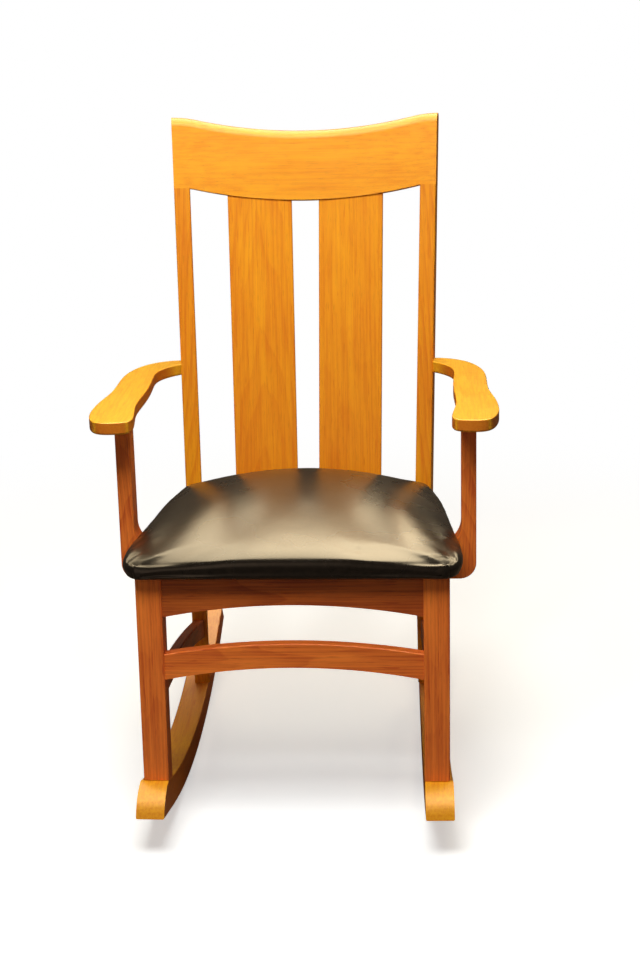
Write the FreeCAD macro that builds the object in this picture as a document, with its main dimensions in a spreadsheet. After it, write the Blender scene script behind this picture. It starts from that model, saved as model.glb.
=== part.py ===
# Hickory rocking chair with a padded leather seat.
#
# The chair is drawn level, the way it is laid out on the bench. X runs to the right
# as a viewer faces the front, Y runs to the back and Z runs up. In that drawing the
# centre of the rockers' arc is straight above the origin. The last step of every
# placement rolls the whole chair back by rest_lean_angle, to where it balances on the floor,
# and moves the middle of its footprint to the origin. Lengths are in millimetres and
# angles in degrees. Pieces on the right are made first and the left ones mirror them.
import FreeCAD, Part
import math
import os
import Sketcher
from FreeCAD import Placement, Rotation, Vector

SIZES = {
    # Rockers, seen from the side, and how the chair stands on them
    "rocker_radius": 1000.0,
    "rocker_width": 47.0,
    "rocker_height": 46.0,
    "rocker_taper": 27.0,
    "nose_angle": 12.4,
    "nose_flat": 93.2,
    "nose_length": 62.0,
    "nose_rise": 11.5,
    "tail_angle": 27.4,
    "rocker_spacing": 412.8,
    "toe_in_angle": 1.34,
    "wear_flat": 0.3,
    "rest_lean_angle": 4.8,
    # Front legs, with the rail and stretcher between them
    "seat_height": 433.6,
    "leg_reach": 229.1,
    "leg_rake_angle": 3.0,
    "leg_width": 43.0,
    "leg_foot_width": 41.5,
    "leg_depth": 43.0,
    "front_setback": 4.0,
    "rail_height": 67.0,
    "rail_thickness": 22.0,
    "rail_arch": 20.0,
    "stretcher_drop": 130.0,
    "stretcher_height": 44.0,
    "stretcher_thickness": 22.0,
    "stretcher_arch": 17.5,
    "stretcher_bottom_arch": 20.5,
    # Back posts, each sawn from one board with a bend at the seat
    "post_gap": 392.0,
    "post_front": 203.1,
    "post_width": 29.0,
    "post_depth": 40.0,
    "post_top_depth": 30.0,
    "post_foot_depth": 36.0,
    "post_length": 573.5,
    "post_rake_angle": 11.0,
    "post_splay_angle": 3.4,
    "post_turn_angle": 6.7,
    "post_bend_radius": 180.0,
    # Crest rail and the two back slats
    "crest_height": 128.2,
    "crest_thickness": 30.0,
    "crest_top_dip": 25.6,
    "crest_ear": 40.0,
    "crest_bottom_dip": 23.2,
    "crest_front_round": 16.0,
    "crest_back_round": 8.0,
    "slat_width": 117.0,
    "slat_foot_width": 114.2,
    "slat_thickness": 12.0,
    "slat_inset": 4.0,
    "slat_spread": 166.6,
    "slat_foot_spread": 152.0,
    "rear_rail_thickness": 26.0,
    # Side stretchers, given by the heights of their centre lines
    "side_stretcher_height": 36.0,
    "side_stretcher_thickness": 19.0,
    "side_stretcher_inset": 3.2,
    "side_stretcher_arch": 10.0,
    "side_stretcher_under_arch": 18.0,
    "side_stretcher_front": 242.0,
    "side_stretcher_rear": 173.5,
    # Arms and the crooks that carry them
    "arm_length": 443.0,
    "arm_reach": 107.0,
    "arm_thickness": 21.0,
    "arm_top_round": 2.0,
    "arm_under_round": 4.0,
    "arm_height": 684.1,
    "arm_rear": 280.0,
    "arm_slope_angle": 1.02,
    "support_spread": 601.0,
    "support_width": 25.0,
    "support_depth": 45.0,
    "support_setback": 144.0,
    "support_corner": 28.0,
    "support_crook": 44.0,
    "support_foot_height": 51.0,
    # Joints
    "tenon_length": 18.0,
    "tenon_thickness": 10.0,
    "slat_tenon_thickness": 8.0,
    "slat_tenon_length": 14.0,
    "slat_shoulder": 8.0,
    "post_tenon_length": 24.0,
    "post_tenon_width": 14.0,
    "glue_gap": 0.1,
    "mortise_room": 1.0,
    "dowel_diameter": 12.0,
    "dowel_length": 48.0,
    "arm_dowel_length": 24.0,
    "edge_round": 2.5,
    # Corner blocks and screws
    "block_size": 100.0,
    "block_height": 20.0,
    "screw_inset": 14.0,
    "screw_diameter": 4.0,
    "screw_head_diameter": 8.0,
    "screw_head_height": 3.0,
    "screw_length": 30.0,
    "screw_point": 5.0,
    "arm_screw_length": 48.0,
    "arm_screw_spacing": 12.0,
    "crook_screw_spacing": 20.0,
    # Seat
    "seat_overhang": 27.0,
    "seat_room": 7.0,
    "seat_post_room": 6.2,
    "crown_height": 94.0,
    "leather_thickness": 1.5,
    "leather_margin": 45.0,
    "cloth_gap": 0.5,
    "board_thickness": 12.0,
    "board_inset": 8.0,
    "seat_gap": 1.5,
    # One overrun for every cut that passes right through
    "overrun": 60.0,
}

# Where the arm's outline runs, from the post forward round the hand hold and back:
# outward as a share of arm_reach, forward as a share of arm_length.
ARM_OUTLINE_SHARES = [
    (-0.10, 0.002), (0.17, 0.004), (0.50, 0.050), (0.70, 0.122), (0.83, 0.226),
    (0.87, 0.384), (0.888, 0.542), (0.963, 0.677), (1.0, 0.801), (0.963, 0.914),
    (0.813, 0.988), (0.55, 1.0), (0.327, 0.980), (0.28, 0.903), (0.346, 0.745),
    (0.336, 0.609), (0.318, 0.474), (0.336, 0.316), (0.29, 0.172), (0.14, 0.108),
    (-0.10, 0.055),
]

# The seat's sections from front to back: distance back as a share of its depth, half
# width as a share of half the seat's width, then the lift of the underside, the height of
# the side shoulder and the height of the crown as shares of crown_height.
SEAT_SECTION_SHARES = [
    (0.000, 0.855, 0.085, 0.277, 0.320),
    (0.014, 0.932, 0.020, 0.355, 0.425),
    (0.068, 0.989, -0.020, 0.383, 0.505),
    (0.124, 1.000, -0.020, 0.383, 0.580),
    (0.344, 0.970, -0.020, 0.404, 0.850),
    (0.565, 0.928, -0.020, 0.415, 0.985),
    (0.786, 0.880, -0.020, 0.440, 0.940),
    (0.918, 0.832, -0.020, 0.440, 0.755),
    (0.980, 0.790, -0.010, 0.400, 0.532),
    (1.000, 0.730, 0.064, 0.300, 0.362),
]

# How far the seat's sides draw in below and above their widest line, as shares of the
# height of the side band.
SEAT_TUCK_SHARE = 0.45
SEAT_SHOULDER_SHARE = 0.20

# Tenons that meet in one leg or post are staggered: where each band of tenons starts
# below the top of its rail, and how tall it is, as shares of the rail's height.
UPPER_TENON_SHARE = 0.12
LOWER_TENON_SHARE = 0.56
TENON_HEIGHT_SHARE = 0.33
STRETCHER_TENON_SHARE = 0.62

# The rise of a quarter circle over its chord, as a share of its radius.
QUARTER_RISE_SHARE = 1.0 - math.sqrt(0.5)


class Size:
    """A number together with the sheet formula that gives it."""

    def __init__(self, number, formula):
        self.number = number
        self.formula = formula

    def __add__(self, other):
        other = as_size(other)
        return Size(self.number + other.number, f"({self.formula} + {other.formula})")

    def __sub__(self, other):
        other = as_size(other)
        return Size(self.number - other.number, f"({self.formula} - {other.formula})")

    def __mul__(self, other):
        other = as_size(other)
        return Size(self.number * other.number, f"({self.formula} * {other.formula})")

    def __truediv__(self, other):
        other = as_size(other)
        return Size(self.number / other.number, f"({self.formula} / {other.formula})")

    def __neg__(self):
        return Size(-self.number, f"(0 - {self.formula})")


def as_size(value):
    """Return a Size as it is, and wrap a plain number."""
    if isinstance(value, Size):
        return value
    return Size(float(value), repr(float(value)))


def sine(angle):
    """Sine of an angle in degrees."""
    return Size(math.sin(math.radians(angle.number)), f"sin({angle.formula})")


def cosine(angle):
    """Cosine of an angle in degrees."""
    return Size(math.cos(math.radians(angle.number)), f"cos({angle.formula})")


def root(value):
    """Square root."""
    return Size(math.sqrt(value.number), f"sqrt({value.formula})")


doc = FreeCAD.newDocument("rocking_chair")
sheet = doc.addObject("Spreadsheet::Sheet", "Sizes")
for row, (name, number) in enumerate(SIZES.items(), start=1):
    sheet.set(f"A{row}", name)
    sheet.set(f"B{row}", str(number))
    sheet.setAlias(f"B{row}", name)
doc.recompute()


class Names:
    """Every size of the sheet as an attribute, for instance S.leg_width."""


S = Names()
for name, number in SIZES.items():
    setattr(S, name, Size(number, f"Sizes.{name}"))
NOTHING = as_size(0)


# Helpers for features

def bind(item, prop, value):
    """Give a property its value and the formula that keeps it."""
    value = as_size(value)
    setattr(item, prop, value.number)
    item.setExpression(prop, value.formula)


def new_body(label):
    """An empty body under its own label."""
    body = doc.addObject("PartDesign::Body", label)
    body.Label = label
    return body


def new_sketch(body, role):
    """A sketch on one of the body's own origin planes."""
    sketch = body.newObject("Sketcher::SketchObject", f"{body.Name}_outline")
    planes = [plane for plane in body.Origin.OriginFeatures if plane.Role == role]
    sketch.AttachmentSupport = [(planes[0], "")]
    sketch.MapMode = "FlatFace"
    return sketch


def arc_between(start, end, rise):
    """The arc that bulges by rise to the left of the way from start to end."""
    chord = end - start
    left = Vector(-chord.y, chord.x, 0)
    left.normalize()
    middle = (start + end) * 0.5 + left * rise
    return Part.Arc(start, middle, end)


def draw(sketch, corners):
    """Close an outline through corners (x, y), with an arc after each (x, y, rise)."""
    spots = [Vector(as_size(corner[0]).number, as_size(corner[1]).number, 0) for corner in corners]
    ends = []
    for index, corner in enumerate(corners):
        start = spots[index]
        end = spots[(index + 1) % len(spots)]
        if len(corner) == 2:
            sketch.addGeometry(Part.LineSegment(start, end), False)
            ends.append((1, 2))
            continue
        rise = corner[2].number
        if rise > 0:
            sketch.addGeometry(arc_between(end, start, -rise), False)
            ends.append((2, 1))
        else:
            sketch.addGeometry(arc_between(start, end, rise), False)
            ends.append((1, 2))
    for index, corner in enumerate(corners):
        following = (index + 1) % len(corners)
        sketch.addConstraint(
            Sketcher.Constraint("Coincident", index, ends[index][1], following, ends[following][0]))
    for index, corner in enumerate(corners):
        for letter, kind, value in (("x", "DistanceX", corner[0]), ("y", "DistanceY", corner[1])):
            fix(sketch, f"{letter}{index}", value,
                Sketcher.Constraint(kind, -1, 1, index, ends[index][0], as_size(value).number))
        if len(corner) == 3:
            across = as_size(corners[(index + 1) % len(corners)][0]) - corner[0]
            along = as_size(corners[(index + 1) % len(corners)][1]) - corner[1]
            rise = corner[2] if corner[2].number > 0 else -corner[2]
            radius = (across * across + along * along) / (rise * 8) + rise / 2
            fix(sketch, f"radius{index}", radius,
                Sketcher.Constraint("Radius", index, radius.number))


def fix(sketch, name, value, constraint):
    """Add a named constraint whose value follows its formula."""
    number = sketch.addConstraint(constraint)
    sketch.renameConstraint(number, name)
    sketch.setExpression(f"Constraints.{name}", as_size(value).formula)


def pad(label, role, corners, thickness, reversed_way=False):
    """A body made by padding one closed outline."""
    body = new_body(label)
    sketch = new_sketch(body, role)
    draw(sketch, corners)
    block = body.newObject("PartDesign::Pad", f"{body.Name}_pad")
    block.Profile = sketch
    block.Reversed = reversed_way
    bind(block, "Length", thickness)
    doc.recompute()
    return body


def round_edges(body, radius, wanted):
    """Round those edges of a body that the test wanted picks."""
    base = body.Tip
    names = [f"Edge{number}" for number, edge in enumerate(base.Shape.Edges, start=1)
             if wanted(edge)]
    rounding = body.newObject("PartDesign::Fillet", f"{body.Name}_rounding{len(body.Group)}")
    rounding.Base = (base, names)
    bind(rounding, "Radius", radius)
    doc.recompute()
    return body


def span(edge):
    """The vector from one end of an edge to the other."""
    return edge.Vertexes[-1].Point - edge.Vertexes[0].Point


def box(label, length, width, height, place):
    """A box with bound sides at a placement."""
    item = doc.addObject("Part::Box", label)
    bind(item, "Length", length)
    bind(item, "Width", width)
    bind(item, "Height", height)
    item.Placement = place
    return item


def rod(label, diameter, length, place):
    """A cylinder along the placement's own Z axis."""
    item = doc.addObject("Part::Cylinder", label)
    bind(item, "Radius", diameter / 2)
    bind(item, "Height", length)
    item.Placement = place
    return item


def cone(label, wide, narrow, length, place):
    """A cone along the placement's own Z axis, from its wide end."""
    item = doc.addObject("Part::Cone", label)
    bind(item, "Radius1", wide / 2)
    bind(item, "Radius2", narrow / 2)
    bind(item, "Height", length)
    item.Placement = place
    return item


def joined(label, pieces):
    """The union of several pieces."""
    item = doc.addObject("Part::MultiFuse", label)
    item.Shapes = pieces
    return item


def cut(label, base, tools):
    """A piece with all its tools taken out of it."""
    item = doc.addObject("Part::Cut", label)
    item.Base = base
    item.Tool = tools[0] if len(tools) == 1 else joined(f"{label}_tools", tools)
    item.Label = label
    return item


def common(label, first, second):
    """What two pieces share."""
    item = doc.addObject("Part::Common", label)
    item.Base = first
    item.Tool = second
    item.Label = label
    return item


def mirrored(label, source):
    """The same piece on the other side of the chair."""
    item = doc.addObject("Part::Mirroring", label)
    item.Source = source
    item.Normal = Vector(1, 0, 0)
    item.Label = label
    return item


def group(label, pieces):
    """Separate solids kept together under one name."""
    item = doc.addObject("Part::Compound", label)
    item.Links = pieces
    item.Label = label
    return item


def tenon(label, frame, height, thickness, length):
    """A tenon and its mortise. The frame's Z points into the piece that takes it."""
    depth = S.tenon_thickness
    gap = S.glue_gap
    corner = frame * at(-(height / 2), -(thickness / 2), -depth)
    peg = box(f"{label}_tenon", height, thickness, length + depth, corner)
    hole = box(f"{label}_mortise", height + gap * 2, thickness + gap * 2,
               length + depth + S.mortise_room, corner * at(-gap, -gap, 0))
    return peg, hole


def dowel(label, frame, length):
    """A dowel half on each side of the frame's origin, and the hole for it."""
    start = frame * at(0, 0, -(length / 2))
    peg = rod(f"{label}_dowel", S.dowel_diameter, length, start)
    hole = rod(f"{label}_dowel_hole", S.dowel_diameter + S.glue_gap * 2,
               length + S.mortise_room * 2, start * at(0, 0, -S.mortise_room))
    return peg, hole


def screw_form(label, frame, length, gap):
    """Head, shank and point of a wood screw, all larger by the gap."""
    width = S.screw_diameter + gap * 2
    point = length - S.screw_point
    return joined(label, [
        cone(f"{label}_head", S.screw_head_diameter + gap * 2, width, S.screw_head_height, frame),
        rod(f"{label}_shank", width, point, frame),
        cone(f"{label}_point", width, width / 4, S.screw_point + gap, frame * at(0, 0, point)),
    ])


def screw(label, frame, length):
    """A wood screw driven along the frame's Z axis, and the hole for it."""
    driven = screw_form(f"{label}_screw", frame, length, NOTHING)
    hole = screw_form(f"{label}_screw_hole", frame, length, S.glue_gap)
    return driven, hole


def shape(label, solid):
    """A freely formed piece."""
    item = doc.addObject("Part::Feature", label)
    item.Shape = solid
    item.Label = label
    return item


def at(x, y, z):
    """A plain move. Sizes and numbers both do."""
    return Placement(Vector(as_size(x).number, as_size(y).number, as_size(z).number), Rotation())


def turn(axis, angle):
    """A turn about an axis through the local origin, in degrees."""
    return Placement(Vector(0, 0, 0), Rotation(axis, as_size(angle).number))


X_AXIS = Vector(1, 0, 0)
Y_AXIS = Vector(0, 1, 0)
Z_AXIS = Vector(0, 0, 1)


def facing(height_way, side_way):
    """A turn whose X and Y follow the two directions and whose Z points out of both."""
    return Placement(Vector(), Rotation(height_way, side_way, height_way.cross(side_way)))


TO_RIGHT = facing(-Z_AXIS, Y_AXIS)
TO_FRONT = facing(Z_AXIS, -X_AXIS)
TO_BACK = facing(-Z_AXIS, -X_AXIS)

NODES = {}


def keep(item):
    """Hand a finished piece in under its label."""
    NODES[item.Label] = item
    return item


# Frames: each is the placement of a group of pieces that are drawn together

front_reach = (S.rocker_radius * sine(S.nose_angle + S.rest_lean_angle)
               + S.nose_flat * cosine(S.nose_angle + S.rest_lean_angle))
rear_reach = S.rocker_radius * sine(S.tail_angle - S.rest_lean_angle)
toe_reach = S.rocker_width * sine(S.toe_in_angle)
footprint_middle = (rear_reach - front_reach) * cosine(S.toe_in_angle) / 2 + toe_reach / 2
LEVEL = Placement(
    Vector(0, -footprint_middle.number, -S.wear_flat.number),
    Rotation(X_AXIS, -S.rest_lean_angle.number),
    Vector(0, 0, S.rocker_radius.number))
SEAT = LEVEL * at(0, 0, S.seat_height)
SIDE = LEVEL * at(S.rocker_spacing / 2, 0, 0) * turn(Z_AXIS, S.toe_in_angle)
FRONT = LEVEL * at(0, -S.leg_reach, S.seat_height) * turn(X_AXIS, -S.leg_rake_angle)
POST = LEVEL * at(S.post_gap / 2, S.post_front, S.seat_height) * turn(Z_AXIS, -S.post_turn_angle)

# The rocker's inner face where the front leg stands gives the leg its place
leg_inner = S.rocker_spacing / 2 + S.leg_reach * sine(S.toe_in_angle) / cosine(S.toe_in_angle)

# The posts' top, half way across their front faces, gives the crest its place
post_back = S.post_length * sine(S.post_rake_angle)
post_rise = S.post_length * cosine(S.post_rake_angle)
post_top_inner = S.post_gap / 2 + post_back * sine(S.post_turn_angle)
post_top_outer = post_top_inner + S.post_width * cosine(S.post_turn_angle)
post_top_front = (S.post_front + post_back * cosine(S.post_turn_angle)
                  - S.post_width * sine(S.post_turn_angle) / 2)
CREST = (LEVEL * at(0, post_top_front, S.seat_height + post_rise)
         * turn(X_AXIS, -S.post_rake_angle))
POST_TOP = POST * at(0, post_back, post_rise) * turn(X_AXIS, -S.post_rake_angle)

# The crest's front face is an arc in plan that meets the posts' front faces squarely
crest_half = (post_top_inner + post_top_outer) / 2
crest_radius = crest_half / sine(S.post_turn_angle)
crest_sagitta = crest_radius - root(crest_radius * crest_radius - crest_half * crest_half)

# The slats stand behind that face, turned to follow it
slat_x = (S.slat_spread + S.slat_foot_spread) / 4
slat_y = (crest_sagitta - crest_radius + root(crest_radius * crest_radius - slat_x * slat_x)
          + S.slat_inset)
slat_turn = math.degrees(math.asin(slat_x.number / crest_radius.number))
SLAT = CREST * at(slat_x, slat_y, 0) * turn(Z_AXIS, -slat_turn)

# The rear rail's middle lies below the slats' middle
rear_rail_y = (post_top_front - post_rise * sine(S.post_rake_angle) / cosine(S.post_rake_angle)
               + (slat_y + S.slat_thickness / 2) / cosine(S.post_rake_angle))

# Side rails run from the middle of a front leg to the middle of a back post
leg_middle_x = leg_inner + S.leg_width / 2
leg_middle_y = S.leg_depth / 2 - S.leg_reach
post_middle_x = (S.post_gap + S.post_width * cosine(S.post_turn_angle)
                 + S.post_depth * sine(S.post_turn_angle)) / 2
post_middle_y = (S.post_front + (S.post_depth * cosine(S.post_turn_angle)
                                 - S.post_width * sine(S.post_turn_angle)) / 2)
rail_in = leg_middle_x - post_middle_x
rail_run = post_middle_y - leg_middle_y
rail_length = root(rail_in * rail_in + rail_run * rail_run)
rail_turn = math.degrees(math.atan2(rail_in.number, rail_run.number))
RAIL = SEAT * at(leg_middle_x, leg_middle_y, 0) * turn(Z_AXIS, rail_turn)

# Side stretchers run between the same two pieces lower down, in the rockers' planes
leg_drop = S.seat_height - S.side_stretcher_front
post_drop = S.seat_height - S.side_stretcher_rear
stretcher_start = leg_middle_y - leg_drop * sine(S.leg_rake_angle) / cosine(S.leg_rake_angle)
stretcher_end = (S.post_front + S.post_foot_depth / 2
                 + post_drop * sine(S.post_splay_angle) / cosine(S.post_splay_angle))
stretcher_run = stretcher_end - stretcher_start
stretcher_fall = S.side_stretcher_front - S.side_stretcher_rear
stretcher_length = root(stretcher_run * stretcher_run + stretcher_fall * stretcher_fall)
stretcher_tilt = math.degrees(math.atan2(stretcher_fall.number, stretcher_run.number))
STRETCHER = (SIDE * at(S.side_stretcher_inset, stretcher_start, S.side_stretcher_front)
             * turn(X_AXIS, -stretcher_tilt))

# The arm starts at the post's outer face
arm_rise = S.arm_height - S.seat_height
arm_post_y = arm_rise * sine(S.post_rake_angle) / cosine(S.post_rake_angle)
arm_x = S.post_gap / 2 + S.post_width * cosine(S.post_turn_angle) + arm_post_y * sine(S.post_turn_angle)
ARM = LEVEL * at(arm_x, S.arm_rear, S.arm_height) * turn(X_AXIS, S.arm_slope_angle)
support_front = S.support_setback - S.leg_reach
support_middle_y = support_front + S.support_depth / 2

# The seat fits between the arm supports and reaches from over the front rail to the posts
seat_front = -S.leg_reach - S.seat_overhang
seat_depth = S.post_front - S.seat_post_room - seat_front
seat_width = S.support_spread - S.support_width - S.seat_room * 2
side_band = S.crown_height * SEAT_SECTION_SHARES[2][3]


def rocker_top(y):
    """Height of the rockers' top arc at a distance back."""
    radius = S.rocker_radius - S.rocker_height
    run = y - S.rocker_taper
    return S.rocker_radius - root(radius * radius - run * run)


def arc_rise(radius, start, end):
    """How far an arc of this radius bulges past the chord between two corners."""
    across = end[0] - start[0]
    along = end[1] - start[1]
    return radius - root(radius * radius - (across * across + along * along) / 4)


def on_rocker(frame):
    """Move a frame along its own Z axis to where that meets the rockers' top."""
    to_level = LEVEL.inverse() * frame
    drop = 0.0
    for _ in range(len(SIZES)):
        spot = to_level.multVec(Vector(0, 0, drop))
        drop -= spot.z - rocker_top(as_size(spot.y)).number
    return frame * at(0, 0, drop)


# Blanks, before their joints are cut

def make_rocker():
    """The right rocker: an arc that runs straight to a round nose, and a taper above."""
    top_radius = S.rocker_radius - S.rocker_height
    leave = (-S.rocker_radius * sine(S.nose_angle),
             S.rocker_radius - S.rocker_radius * cosine(S.nose_angle))
    nose = (leave[0] - S.nose_flat * cosine(S.nose_angle),
            leave[1] + S.nose_flat * sine(S.nose_angle))
    tail = (S.rocker_radius * sine(S.tail_angle),
            S.rocker_radius - S.rocker_radius * cosine(S.tail_angle))
    tail_top = (top_radius * sine(S.tail_angle), rocker_top(top_radius * sine(S.tail_angle)))
    nose_top = (nose[0] + S.nose_length, rocker_top(nose[0] + S.nose_length))
    corners = [
        nose,
        (*leave, -arc_rise(S.rocker_radius, leave, tail)),
        tail,
        (*tail_top, arc_rise(top_radius, nose_top, tail_top)),
        (*nose_top, -S.nose_rise),
    ]
    rocker = pad("rocker_blank", "YZ_Plane", corners, S.rocker_width)
    reach = S.nose_flat.number
    round_edges(rocker, S.edge_round, lambda edge: abs(span(edge).y) > reach)
    rocker.Placement = SIDE
    return rocker


def make_leg():
    """The right front leg, longer at both ends than it will be."""
    corners = [
        (leg_inner, S.overrun),
        (leg_inner, -S.seat_height),
        (leg_inner + S.leg_foot_width, -S.seat_height),
        (leg_inner + S.leg_width, S.overrun),
    ]
    leg = pad("leg_blank", "XZ_Plane", corners, S.leg_depth, reversed_way=True)
    reach = S.seat_height.number / 2
    round_edges(leg, S.edge_round, lambda edge: abs(span(edge).z) > reach)
    leg.Placement = FRONT
    return leg


def make_post():
    """The right back post: leg and back in one, bent at the seat."""
    top = S.post_length + S.crest_height / 2
    foot = S.seat_height
    top_y = top * sine(S.post_rake_angle)
    top_z = top * cosine(S.post_rake_angle)
    foot_y = foot * sine(S.post_splay_angle)
    foot_z = -foot * cosine(S.post_splay_angle)
    corners = [
        (top_y, top_z),
        (0, 0),
        (foot_y, foot_z),
        (foot_y + S.post_foot_depth * cosine(S.post_splay_angle),
         foot_z + S.post_foot_depth * sine(S.post_splay_angle)),
        (S.post_depth, 0),
        (top_y + S.post_top_depth * cosine(S.post_rake_angle),
         top_z - S.post_top_depth * sine(S.post_rake_angle)),
    ]
    post = pad("post_blank", "YZ_Plane", corners, S.post_width)
    half = S.post_width.number / 2
    round_edges(post, S.post_bend_radius,
                lambda edge: abs(span(edge).x) > half and abs(edge.CenterOfMass.z) < half)
    reach = S.post_length.number / 8
    round_edges(post, S.edge_round, lambda edge: abs(span(edge).z) > reach)
    post.Placement = POST
    return post


def make_front_rail():
    """The rail under the seat's front edge, arched along its bottom."""
    corners = [
        (-leg_inner, S.overrun),
        (-leg_inner, -S.rail_height, S.rail_arch),
        (leg_inner, -S.rail_height),
        (leg_inner, S.overrun),
    ]
    rail = pad("front_rail_blank", "XZ_Plane", corners, S.rail_thickness, reversed_way=True)
    rail.Placement = FRONT * at(0, S.front_setback, 0)
    return rail


def make_front_stretcher():
    """The stretcher between the front legs, arched above and below."""
    low = S.stretcher_drop + S.stretcher_height
    corners = [
        (-leg_inner, -low, S.stretcher_bottom_arch),
        (leg_inner, -low),
        (leg_inner, -S.stretcher_drop, -S.stretcher_arch),
        (-leg_inner, -S.stretcher_drop),
    ]
    stretcher = pad("front_stretcher_blank", "XZ_Plane", corners, S.stretcher_thickness,
                    reversed_way=True)
    reach = leg_inner.number
    middle = -S.stretcher_drop.number - S.stretcher_height.number / 2
    round_edges(stretcher, S.edge_round,
                lambda edge: abs(span(edge).x) > reach and edge.CenterOfMass.z > middle)
    stretcher.Placement = FRONT * at(0, S.front_setback, 0)
    return stretcher


def make_crest():
    """The crest rail: a board bent in plan, sawn to its outline and rounded on top."""
    back_radius = crest_radius + S.crest_thickness
    middle = crest_sagitta - crest_radius
    end = post_top_outer + S.overrun
    front_run = root(crest_radius * crest_radius - end * end)
    back_run = root(back_radius * back_radius - end * end)
    plan = [
        (-end, middle + front_run, crest_radius - front_run),
        (end, middle + front_run),
        (end, middle + back_run, -(back_radius - back_run)),
        (-end, middle + back_run),
    ]
    board = pad("crest_board", "XY_Plane", plan, S.crest_height + S.overrun * 2)
    board.Placement = CREST * at(0, 0, -S.overrun)
    long_end = post_top_outer + S.post_width
    fall = S.crest_top_dip / post_top_outer
    lengthened = root(fall * fall + 1)
    ear_x = post_top_outer - S.crest_ear
    ear_z = S.crest_height - S.crest_ear * fall
    ear_bulge = S.crest_ear * lengthened * (lengthened - 1) / fall / 2
    outline = [
        (-long_end, 0),
        (-post_top_inner, 0, -S.crest_bottom_dip),
        (post_top_inner, 0),
        (long_end, 0),
        (long_end, S.crest_height),
        (post_top_outer, S.crest_height, -ear_bulge),
        (ear_x, ear_z, ear_x * fall),
        (-ear_x, ear_z, -ear_bulge),
        (-post_top_outer, S.crest_height),
        (-long_end, S.crest_height),
    ]
    face = pad("crest_face", "XZ_Plane", outline, S.overrun * 2)
    face.Placement = CREST * at(0, S.overrun + S.crest_thickness / 2, 0)
    blank = common("crest_board_cut", board, face)
    doc.recompute()
    rounded = doc.addObject("Part::Fillet", "crest_blank")
    rounded.Base = blank
    picked = []
    for number, edge in enumerate(blank.Shape.Edges, start=1):
        spot = CREST.inverse().multVec(edge.CenterOfMass)
        if edge.Length < post_top_inner.number:
            continue
        in_front = spot.y < (crest_sagitta + S.crest_thickness / 2).number
        radius = S.crest_front_round if in_front else S.crest_back_round
        if spot.z > (S.crest_height / 2).number:
            picked.append((number, radius.number, radius.number))
    rounded.Edges = picked
    doc.recompute()
    return rounded


def make_slat():
    """The right back slat, a little narrower and further in at its foot."""
    slat = slat_board("slat_blank", NOTHING, NOTHING, S.slat_thickness)
    reach = S.post_length.number / 2
    round_edges(slat, S.edge_round, lambda edge: abs(span(edge).z) > reach)
    slat.Placement = SLAT
    return slat


def slat_board(label, margin, room, thickness):
    """A board along a slat, in from its sides by margin and longer by room at each end."""
    inward = (S.slat_spread - S.slat_foot_spread) / 4
    top_half = S.slat_width / 2 - margin
    foot_half = S.slat_foot_width / 2 - margin
    foot = -(S.post_length + S.slat_tenon_length + room)
    corners = [
        (inward - top_half, room),
        (-inward - foot_half, foot),
        (-inward + foot_half, foot),
        (inward + top_half, room),
    ]
    return pad(label, "XZ_Plane", corners, thickness, reversed_way=True)


def make_side_stretcher():
    """The right side stretcher, arched above and below."""
    half = S.side_stretcher_height / 2
    corners = [
        (0, -half, S.side_stretcher_under_arch),
        (stretcher_length, -half),
        (stretcher_length, half, -S.side_stretcher_arch),
        (0, half),
    ]
    stretcher = pad("side_stretcher_blank", "YZ_Plane", corners, S.side_stretcher_thickness)
    reach = stretcher_length.number / 2
    round_edges(stretcher, S.edge_round,
                lambda edge: abs(span(edge).y) > reach and edge.CenterOfMass.z > 0)
    stretcher.Placement = STRETCHER
    return stretcher


def make_side_rail():
    """The right side rail between the middles of a leg and a post."""
    corners = [
        (0, -S.rail_height),
        (rail_length, -S.rail_height),
        (rail_length, 0),
        (0, 0),
    ]
    rail = pad("side_rail_blank", "YZ_Plane", corners, S.rail_thickness)
    reach = rail_length.number / 2
    low = -S.rail_height.number / 2
    round_edges(rail, S.edge_round,
                lambda edge: abs(span(edge).y) > reach and edge.CenterOfMass.z < low)
    rail.Placement = RAIL * at(-S.rail_thickness / 2, 0, 0)
    return rail


def make_rear_rail():
    """The rear rail, which takes the slats' feet."""
    corners = [
        (-post_middle_x, -S.rail_height),
        (post_middle_x, -S.rail_height),
        (post_middle_x, 0),
        (-post_middle_x, 0),
    ]
    rail = pad("rear_rail_blank", "XZ_Plane", corners, S.rear_rail_thickness, reversed_way=True)
    reach = post_middle_x.number
    low = -S.rail_height.number / 2
    round_edges(rail, S.edge_round,
                lambda edge: abs(span(edge).x) > reach and edge.CenterOfMass.z < low)
    rail.Placement = SEAT * at(0, rear_rail_y - S.rear_rail_thickness / 2, 0)
    return rail


def make_arm():
    """The right arm: narrow at the post, sweeping out to a broad hand hold."""
    points = [Vector(S.arm_reach.number * out, -S.arm_length.number * ahead, 0)
              for out, ahead in ARM_OUTLINE_SHARES]
    curve = Part.BSplineCurve()
    curve.interpolate(points)
    close = Part.makeLine(points[-1], points[0])
    face = Part.Face(Part.Wire([curve.toShape(), close]))
    blank = face.extrude(Vector(0, 0, -S.arm_thickness.number))
    rounded = blank
    for radius, above in ((S.arm_top_round, True), (S.arm_under_round, False)):
        edges = [edge for edge in rounded.Edges
                 if edge.Length > S.arm_length.number
                 and (edge.CenterOfMass.z > -radius.number) == above
                 and (edge.CenterOfMass.z > radius.number - S.arm_thickness.number) == above]
        rounded = rounded.makeFillet(radius.number, edges)
    arm = shape("arm_blank", rounded)
    arm.Placement = ARM
    return arm


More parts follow.
